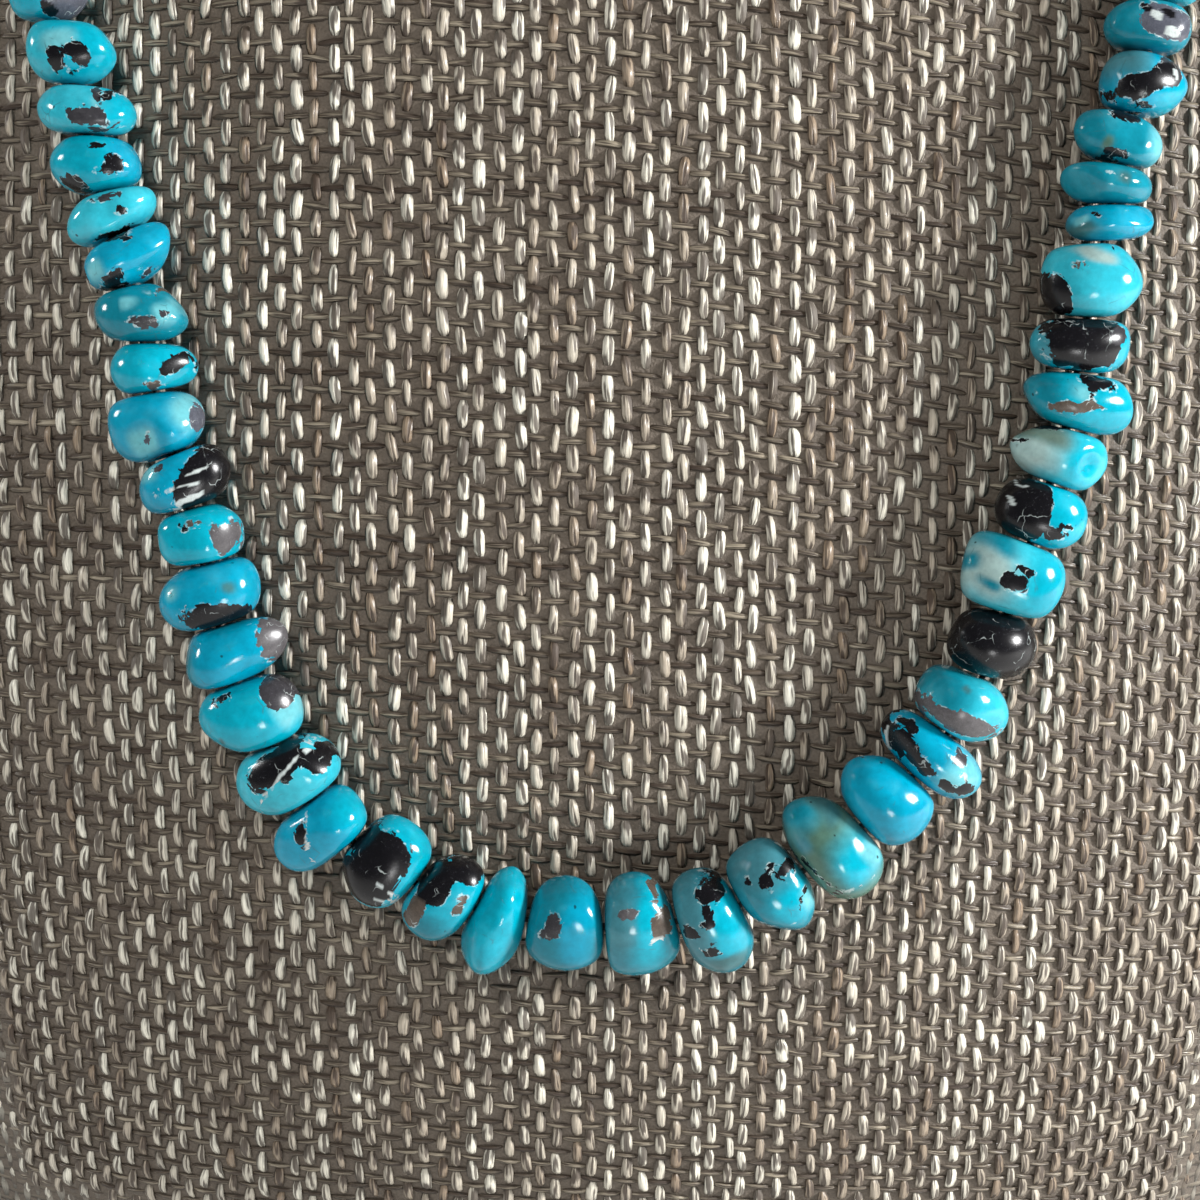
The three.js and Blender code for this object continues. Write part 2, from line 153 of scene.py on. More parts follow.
# Linear colours of the cloth: its ground, its painted threads and the painted shade in the cracks of its
# loose floats.
CLOTH_COLOURS = {
    "ground": (0.115, 0.093, 0.072),
    "warp_dark": (0.13, 0.10, 0.07),
    "warp_light": (0.52, 0.50, 0.42),
    "weft_dark": (0.07, 0.055, 0.04),
    "weft_light": (0.24, 0.205, 0.155),
    "crack_shade": (0.045, 0.030, 0.022),
}


def unit(vectors):
    """Vectors at length one."""
    return vectors / np.linalg.norm(vectors, axis=-1, keepdims=True)


# ---- the bust and the thread's way over it

def section_value(column, height):
    """A column of the bust's table at any height.

    Between two rows it is a cubic Hermite step, whose slope at a row is the rise from the row
    before to the row after over their difference in height.
    """
    levels, values = BUST_SECTIONS[:, 0], BUST_SECTIONS[:, column]
    slopes = np.empty_like(values)
    slopes[1:-1] = (values[2:] - values[:-2]) / (levels[2:] - levels[:-2])
    slopes[0] = (values[1] - values[0]) / (levels[1] - levels[0])
    slopes[-1] = (values[-1] - values[-2]) / (levels[-1] - levels[-2])
    height = np.clip(height, levels[0], levels[-1])
    row = np.clip(np.searchsorted(levels, height, side="right") - 1, 0, len(levels) - 2)
    step = levels[row + 1] - levels[row]
    t = (height - levels[row]) / step
    return (
        (2 * t**3 - 3 * t**2 + 1) * values[row]
        + (t**3 - 2 * t**2 + t) * step * slopes[row]
        + (3 * t**2 - 2 * t**3) * values[row + 1]
        + (t**3 - t**2) * step * slopes[row + 1]
    )


def bust_section(height):
    """Half the width, half the depth and the middle of the bust's ellipse at a height."""
    front, back = section_value(2, height), section_value(3, height)
    return section_value(1, height), (back - front) / 2, (back + front) / 2


def bust_point(angle, height):
    """A point on the bust, at an angle from its front towards +X and a height."""
    half_width, half_depth, middle = bust_section(height)
    return np.stack(
        [half_width * np.sin(angle), middle - half_depth * np.cos(angle), height + 0 * angle], -1
    )


def bust_field(point):
    """One on the bust's surface, less inside and more outside."""
    half_width, half_depth, middle = bust_section(point[..., 2])
    return (point[..., 0] / half_width) ** 2 + ((point[..., 1] - middle) / half_depth) ** 2


def outward(point):
    """The direction straight out of the bust: the slope of bust_field over a short step each way."""
    step = 0.01
    return unit(np.stack(
        [bust_field(point + step * axis) - bust_field(point - step * axis) for axis in np.eye(3)], -1
    ))


def closed_curve(points, steps=60):
    """A closed uniform Catmull-Rom curve through points, each span in equal steps."""
    t = np.linspace(0, 1, steps, endpoint=False)[None, :, None]
    before, here, after, beyond = (np.roll(points, k, 0)[:, None] for k in (1, 0, -1, -2))
    curve = 0.5 * (
        2 * here
        + (after - before) * t
        + (2 * before - 5 * here + 4 * after - beyond) * t**2
        + (3 * here - before - 3 * after + beyond) * t**3
    ).reshape(-1, 3)
    return np.vstack([curve, curve[:1]])


route_feet = bust_point(np.radians(ROUTE[:, 0]), ROUTE[:, 1])
LOOP = closed_curve(route_feet + THREAD_LIFT * outward(route_feet))
LOOP_AT = np.concatenate([[0], np.cumsum(np.linalg.norm(np.diff(LOOP, axis=0), axis=1))])
LOOP_LENGTH = LOOP_AT[-1]


def thread_point(distance):
    """The thread's centre at a distance along the loop from the lowest point."""
    distance = np.mod(distance, LOOP_LENGTH)
    return np.stack([np.interp(distance, LOOP_AT, LOOP[:, k]) for k in range(3)], -1)


def thread_direction(distance):
    """The thread's direction there, over a short chord."""
    chord = 0.3
    return unit(thread_point(distance + chord) - thread_point(distance - chord))


def frame_at(origin, along):
    """A stone's axes as rows: x along the thread, z out of the bust, y across."""
    x = unit(along)
    z = outward(origin)
    z = unit(z - x * np.sum(x * z, -1, keepdims=True))
    return np.stack([x, np.cross(z, x), z], -2)


# ---- meshes

def wrapped_faces(rows, columns, close_rows=False):
    """Quads of a grid whose columns run round, and whose last row joins its first one if asked."""
    first_rows = np.arange(rows if close_rows else rows - 1)
    row, column = np.meshgrid(first_rows, np.arange(columns), indexing="ij")
    next_row, next_column = (row + 1) % rows, (column + 1) % columns
    corners = [
        row * columns + column,
        row * columns + next_column,
        next_row * columns + next_column,
        next_row * columns + column,
    ]
    return np.stack(corners, -1).reshape(-1, 4)


def facing_out(points, quads):
    """The same quads, or a turned-over copy if the volume that they close is negative.

    The volume has the sign of the sum over triangles of a corner dotted with their two edges' cross.
    """
    a, b, c, d = (points[quads[:, k]] for k in range(4))
    volume = np.sum(np.cross(b - a, c - a) * a) + np.sum(np.cross(c - a, d - a) * a)
    return quads if volume > 0 else quads[:, ::-1]


def make_piece(name, points, faces, material, replaced=(), attributes=(), chart=None):
    """A piece on the root body, from points in millimetres.

    faces is a list of arrays with one face a row. attributes holds pairs of a name and its values,
    one number or colour a point. chart is a UV pair a face corner.
    """
    mesh = bpy.data.meshes.new(name)
    corners = np.concatenate([block.ravel() for block in faces]).astype(np.int32)
    sizes = np.concatenate([np.full(len(block), block.shape[1]) for block in faces])
    starts = np.concatenate([[0], np.cumsum(sizes)[:-1]]).astype(np.int32)
    mesh.vertices.add(len(points))
    mesh.vertices.foreach_set("co", (points * MM).astype(np.float32).ravel())
    mesh.loops.add(len(corners))
    mesh.loops.foreach_set("vertex_index", corners)
    mesh.polygons.add(len(starts))
    mesh.polygons.foreach_set("loop_start", starts)
    mesh.polygons.foreach_set("use_smooth", np.ones(len(starts), bool))
    mesh.update(calc_edges=True)
    for label, values in attributes:
        if values.ndim == 1:
            kind, field, flat = "FLOAT", "value", values
        else:
            opaque = np.concatenate([values, np.ones((len(values), 1))], 1)
            kind, field, flat = "FLOAT_COLOR", "color", opaque.ravel()
        layer = mesh.attributes.new(label, kind, "POINT")
        layer.data.foreach_set(field, flat.astype(np.float32))
    if chart is not None:
        mesh.uv_layers.new(name="threads").data.foreach_set("uv", chart.astype(np.float32).ravel())
    piece = bpy.data.objects.new(name, mesh)
    bpy.context.scene.collection.objects.link(piece)
    mesh.materials.append(material)
    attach(piece, "root")
    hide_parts(*replaced)


# ---- materials

# The Mix node's own places for a mix of colours: its two colours and its result.
MIX_FIRST = 6
MIX_SECOND = 7
MIX_RESULT = 2


class Signal:
    """A socket of a material's node. Arithmetic on signals adds Math nodes.

    over is one above a level and nought below it, and least and most are the smaller and the
    larger of two.
    """

    def __init__(self, finish, socket):
        self.finish = finish
        self.socket = socket

    def math(self, operation, *others):
        values = dict(enumerate((self,) + others))
        return self.finish.node("ShaderNodeMath", {"operation": operation}, values)

    def __add__(self, other):
        return self.math("ADD", other)

    __radd__ = __add__

    def __mul__(self, other):
        return self.math("MULTIPLY", other)

    __rmul__ = __mul__

    def __sub__(self, other):
        return self.math("SUBTRACT", other)

    def __rsub__(self, other):
        return self.finish.node("ShaderNodeMath", {"operation": "SUBTRACT"}, {0: other, 1: self})

    def __truediv__(self, other):
        return self.math("DIVIDE", other)

    def __abs__(self):
        return self.math("ABSOLUTE")

    def over(self, level):
        return self.math("GREATER_THAN", level)

    def least(self, other):
        return self.math("MINIMUM", other)

    def most(self, other):
        return self.math("MAXIMUM", other)

    def floor(self):
        return self.math("FLOOR")

    def cosine(self):
        return self.math("COSINE")

    def root(self):
        return self.math("SQRT")

    def ramp(self, low, high):
        """Zero below low, one above high and a smooth step between them."""
        settings = {"interpolation_type": "SMOOTHSTEP"}
        inputs = {"Value": self, "From Min": low, "From Max": high, "To Min": 0.0, "To Max": 1.0}
        return self.finish.node("ShaderNodeMapRange", settings, inputs)


class Finish:
    """A material under way.

    node() adds a node of a kind, makes its settings, sets or links its sockets, and gives one of
    its outputs back. The other methods are the nodes that are used most.
    """

    def __init__(self, name):
        self.material = bpy.data.materials.new(name)
        self.material.use_nodes = True
        self.tree = self.material.node_tree
        self.tree.nodes.clear()

    def node(self, kind, settings=None, inputs=None, output=0):
        made = self.tree.nodes.new(kind)
        for label, value in (settings or {}).items():
            setattr(made, label, value)
        for label, value in (inputs or {}).items():
            if isinstance(value, Signal):
                self.tree.links.new(value.socket, made.inputs[label])
            elif value is not None:
                made.inputs[label].default_value = value
        return Signal(self, made.outputs[output])

    def vector_math(self, operation, inputs):
        return self.node("ShaderNodeVectorMath", {"operation": operation}, inputs)

    def place(self):
        """Object coordinates in millimetres."""
        coordinates = self.node("ShaderNodeTexCoord", output="Object")
        return self.vector_math("SCALE", {0: coordinates, "Scale": 1 / MM})

    def attribute(self, name, output="Fac"):
        return self.node("ShaderNodeAttribute", {"attribute_name": name}, output=output)

    def noise(self, vector, scale, detail=2.0, roughness=0.5, output="Fac"):
        inputs = {"Vector": vector, "Scale": scale, "Detail": detail, "Roughness": roughness}
        return self.node("ShaderNodeTexNoise", {"noise_dimensions": "3D"}, inputs, output)

    def cells(self, vector, scale, feature="F1", output="Distance"):
        inputs = {"Vector": vector, "Scale": scale}
        return self.node("ShaderNodeTexVoronoi", {"feature": feature}, inputs, output)

    def cell_value(self, vector, scale):
        """A random number for each Voronoi cell."""
        colour = self.cells(vector, scale, output="Color")
        return self.node("ShaderNodeSeparateColor", inputs={"Color": colour}, output="Red")

    def mix(self, factor, first, second):
        """Colours: first where the factor is nought, second where it is one."""
        opaque = [c + (1.0,) if isinstance(c, tuple) else c for c in (first, second)]
        inputs = {0: factor, MIX_FIRST: opaque[0], MIX_SECOND: opaque[1]}
        return self.node("ShaderNodeMix", {"data_type": "RGBA"}, inputs, MIX_RESULT)

    def shade(self, colour, amount):
        """A colour times a number."""
        return self.vector_math("SCALE", {0: colour, "Scale": amount})

    def jitter(self, vector, scale, amount):
        """Coordinates pushed about by a noise of that scale, half of the amount each way."""
        noise = self.noise(vector, scale, output="Color")
        shifted = self.vector_math("SUBTRACT", {0: noise, 1: (0.5, 0.5, 0.5)})
        inputs = {0: shifted, 1: (amount, amount, amount), 2: vector}
        return self.vector_math("MULTIPLY_ADD", inputs)

    def bump(self, height, strength, depth):
        """The normal over a height, whose unit is a depth in millimetres."""
        inputs = {"Strength": strength, "Distance": depth * MM, "Height": height}
        return self.node("ShaderNodeBump", inputs=inputs, output="Normal")

    def surface(self, **inputs):
        """Ends the material with a Principled shader; words of its socket names are joined by _."""
        named = {label.replace("_", " "): value for label, value in inputs.items()}
        shader = self.node("ShaderNodeBsdfPrincipled", inputs=named)
        output = self.tree.nodes.new("ShaderNodeOutputMaterial")
        self.tree.links.new(shader.socket, output.inputs["Surface"])
        return self.material


def polished_stone():
    """Polished turquoise with patches of host rock. Fields in the mesh say where the patches lie."""
    finish = Finish("polished_turquoise")
    place = finish.place()
    warped = finish.jitter(place, 1.1, 0.35)
    edge = (
        finish.attribute("rock")
        + (finish.cell_value(warped, 0.95) - 0.5) * 0.36
        + (finish.cell_value(warped, 2.8) - 0.5) * 0.14
        + (finish.noise(place, 3.2) - 0.5) * 0.12
    )
    rock = edge.ramp(-0.03, 0.03)
    mottle = finish.noise(warped, 1.4, 4.0, 0.6)

    # Turquoise: slow clouds, darker and paler by turns, with rare dark pits and thin dull cracks.
    cloud = finish.noise(warped, 0.28, 3.0)
    brightness = 0.36 + cloud * 0.5 + mottle * 0.52
    turquoise = finish.shade(finish.attribute("tint", "Color"), brightness)
    turquoise = finish.mix(cloud.ramp(0.52, 0.75) * 0.15, turquoise, COLOURS["pale"])
    pits = 1 - finish.cells(warped, 0.62).ramp(0.06, 0.12)
    pits = pits * finish.noise(place, 0.35).ramp(0.55, 0.62)
    turquoise = finish.mix(pits * 0.8, turquoise, COLOURS["black"])
    cracks = 1 - finish.cells(warped, 0.36, "DISTANCE_TO_EDGE").ramp(0.0, 0.03)
    cracks = cracks * finish.noise(place, 0.5, 3.0).ramp(0.56, 0.66)
    turquoise = finish.mix(cracks * 0.55, turquoise, COLOURS["murky"])

    # A pale, chalky rim follows parts of each patch.
    rim = edge.ramp(-0.15, -0.05) * finish.noise(place, 1.1).ramp(0.50, 0.62)
    turquoise = finish.mix(rim * 0.5, turquoise, COLOURS["white"])

    # Rock: fine speckle, with thin pale veins.
    speckle = finish.noise(place, 7.0, 3.0, 0.7)
    streak = finish.noise(warped, 1.7, 4.0, 0.65)
    brightness = 0.1 + streak * 0.8 + speckle * 0.5
    host = finish.shade(finish.attribute("rock_tint", "Color"), brightness)
    flecks = speckle.ramp(0.58, 0.70) * streak.ramp(0.46, 0.62)
    host = finish.mix(flecks * 0.22, host, COLOURS["ash"])
    bent = finish.jitter(place, 0.8, 1.6)
    veins = 1 - finish.cells(bent, 0.5, "DISTANCE_TO_EDGE").ramp(0.0, 0.028)
    veins = veins * finish.noise(place, 0.8, 3.0).ramp(0.52, 0.66)
    host = finish.mix(veins * 0.5, host, COLOURS["white"])

    return finish.surface(
        Base_Color=finish.mix(rock, turquoise, host),
        Roughness=0.09 + mottle * 0.05 + rock * 0.13,
        IOR=1.45,
        Normal=finish.bump(speckle * 0.25 + mottle * 0.15, 0.3, 0.10),
    )


def woven_cloth():
    """Coarse plain weave in the bust's UV map, whose unit is one thread each way.

    A thread's section is a half ellipse, the root of 1 - offset squared, and rides up and down by
    the cosine of the way along it, so that whichever thread is higher lies on top.
    """
    finish = Finish("woven_cloth")
    chart = finish.node("ShaderNodeTexCoord", output="UV")
    wandering = finish.jitter(chart, 0.45, 0.34)
    u = finish.node("ShaderNodeSeparateXYZ", inputs={"Vector": wandering}, output="X")
    v = finish.node("ShaderNodeSeparateXYZ", inputs={"Vector": wandering}, output="Y")
    warp_index, weft_index = u.floor(), v.floor()

    def chance(index, along, seed):
        """A random value for each stretch of two threads' length along a thread."""
        inputs = {0: index, 1: (along * 0.5).floor(), 2: seed}
        vector = finish.node("ShaderNodeCombineXYZ", inputs=inputs)
        return finish.node("ShaderNodeTexWhiteNoise", {"noise_dimensions": "3D"}, {"Vector": vector})

    warp_lift = ((v - 0.5 + warp_index) * math.pi).cosine()
    weft_lift = ((u + 0.5 + weft_index) * math.pi).cosine()
    warp_size = chance(warp_index, v, 3.0)
    weft_size = chance(weft_index, u, 11.0)
    warp_half = (0.18 + warp_size * 0.12) * (0.85 + warp_lift * 0.3)
    weft_half = (0.12 + weft_size * 0.06) * (0.9 + weft_lift * 0.15)
    warp_offset = (u - warp_index - 0.5) / warp_half
    weft_offset = (v - weft_index - 0.5) / weft_half
    warp_round = (1 - warp_offset * warp_offset).most(0.0).root()
    weft_round = (1 - weft_offset * weft_offset).most(0.0).root()
    # Beside a thread, its height is set far below the ground.
    warp_height = warp_round * 0.8 + warp_lift * 0.8 - (1 - warp_round.over(0.001)) * 3
    weft_height = weft_round * 0.55 + weft_lift * 0.45 - (1 - weft_round.over(0.001)) * 3
    backing = finish.noise(chart, 6.0, 1.0)
    ground = -0.75 + backing * 0.2
    height = warp_height.most(weft_height).most(ground)
    on_top = warp_height.over(weft_height)
    bare = 1 - warp_height.most(weft_height).over(ground)

    def fibres(along, across, scale):
        """Fine streaks that run along a thread."""
        inputs = {0: across * scale, 1: along * 0.9, 2: 5.0}
        return finish.noise(finish.node("ShaderNodeCombineXYZ", inputs=inputs), 1.0, 3.0, 0.7)

    warp_fibre = fibres(v, u, 13.0)
    weft_fibre = fibres(u, v, 16.0)
    warp_tone = chance(warp_index, v, 23.0)
    weft_tone = chance(weft_index, u, 31.0)
    warp_colour = finish.mix(warp_tone, CLOTH_COLOURS["warp_dark"], CLOTH_COLOURS["warp_light"])
    warp_colour = finish.shade(warp_colour, 0.05 + warp_fibre * 1.5)
    # Painted shade: a warp thread darkens where it dips under the weft.
    warp_colour = finish.shade(warp_colour, 0.62 + warp_lift * 0.38)
    weft_colour = finish.mix(weft_tone, CLOTH_COLOURS["weft_dark"], CLOTH_COLOURS["weft_light"])
    weft_colour = finish.shade(weft_colour, 0.1 + weft_fibre * 1.5)
    ground_colour = finish.shade(CLOTH_COLOURS["ground"], 0.6 + backing * 0.8)
    colour = finish.mix(on_top, weft_colour, warp_colour)
    colour = finish.mix(bare, colour, ground_colour)
    # The shade that a weft thread drops on what lies under it.
    under = (v - weft_index - 0.5 + weft_half * 1.5) / 0.10
    shadow = (1 - abs(under).ramp(0.0, 1.0)) * bare
    colour = finish.shade(colour, 1 - shadow * 0.75)

    # Where loose floats of thread lie on the cloth, only its ground is painted.
    floats = finish.attribute("floats")
    relief = height * (1 - floats) + backing * floats * 0.3
    return finish.surface(
        Base_Color=finish.mix(floats, colour, ground_colour),
        Roughness=0.75 - on_top * (1 - bare) * 0.20,
        Normal=finish.bump(relief, 1.0, 0.32),
    )


def loose_fibre():
    """A float of thread: fibre bundles along it, with painted shade in the cracks and on its sides."""
    finish = Finish("loose_fibre")
    across, along = finish.attribute("across"), finish.attribute("along")
    grain = finish.attribute("grain")

    def strands(count, stretch):
        """Noise drawn out along the thread, with so many strands across it."""
        inputs = {0: across * count + grain * 40, 1: along * stretch, 2: grain * 90}
        return finish.noise(finish.node("ShaderNodeCombineXYZ", inputs=inputs), 1.0, 1.0)

    bundle = strands(1.3, 0.5)
    fine = strands(5.0, 0.8)
    # Painted shade: the cracks between fibre bundles and the float's two sides are darkened.
    crack_shade = 1 - bundle.ramp(0.41, 0.52)
    edge = abs(across).ramp(0.72, 1.0)
    colour = finish.shade(finish.attribute("tint", "Color"), 0.1 + fine * 1.8)
    # The painted shade of cracks and sides, drawn towards the crack colour.
    dark = (crack_shade + edge * 0.6).least(1.0) * 0.85
    return finish.surface(
        Base_Color=finish.mix(dark, colour, CLOTH_COLOURS["crack_shade"]),
        Roughness=0.34 + crack_shade * 0.3,
        Normal=finish.bump(bundle.ramp(0.3, 0.6) + fine * 0.6, 0.8, 0.12),
    )


def brushed_silver():
    """Silver with fine turned lines."""
    finish = Finish("brushed_silver")
    place = finish.place()
    drawn_out = finish.vector_math("MULTIPLY", {0: place, 1: (9.0, 0.6, 0.6)})
    lines = finish.noise(drawn_out, 1.0, 3.0)
    tarnish = finish.noise(place, 0.8, 3.0)
    return finish.surface(
        Base_Color=finish.mix(tarnish.ramp(0.45, 0.7), (0.72, 0.70, 0.66), (0.38, 0.35, 0.31)),
        Metallic=1.0,
        Roughness=0.24 + lines * 0.18,
        Normal=finish.bump(lines, 0.2, 0.03),
    )


def waxed_thread():
    """Dark twisted beading thread."""
    finish = Finish("waxed_thread")
    twist = finish.noise(finish.place(), 5.0, 2.0)
    return finish.surface(
        Base_Color=finish.mix(twist, (0.008, 0.007, 0.006), (0.025, 0.021, 0.018)),
        Roughness=0.85,
        Normal=finish.bump(twist, 0.4, 0.05),
    )


STONE_FINISH = polished_stone()
CLOTH_FINISH = woven_cloth()
FIBRE_FINISH = loose_fibre()
SILVER_FINISH = brushed_silver()
THREAD_FINISH = waxed_thread()

# ---- stones

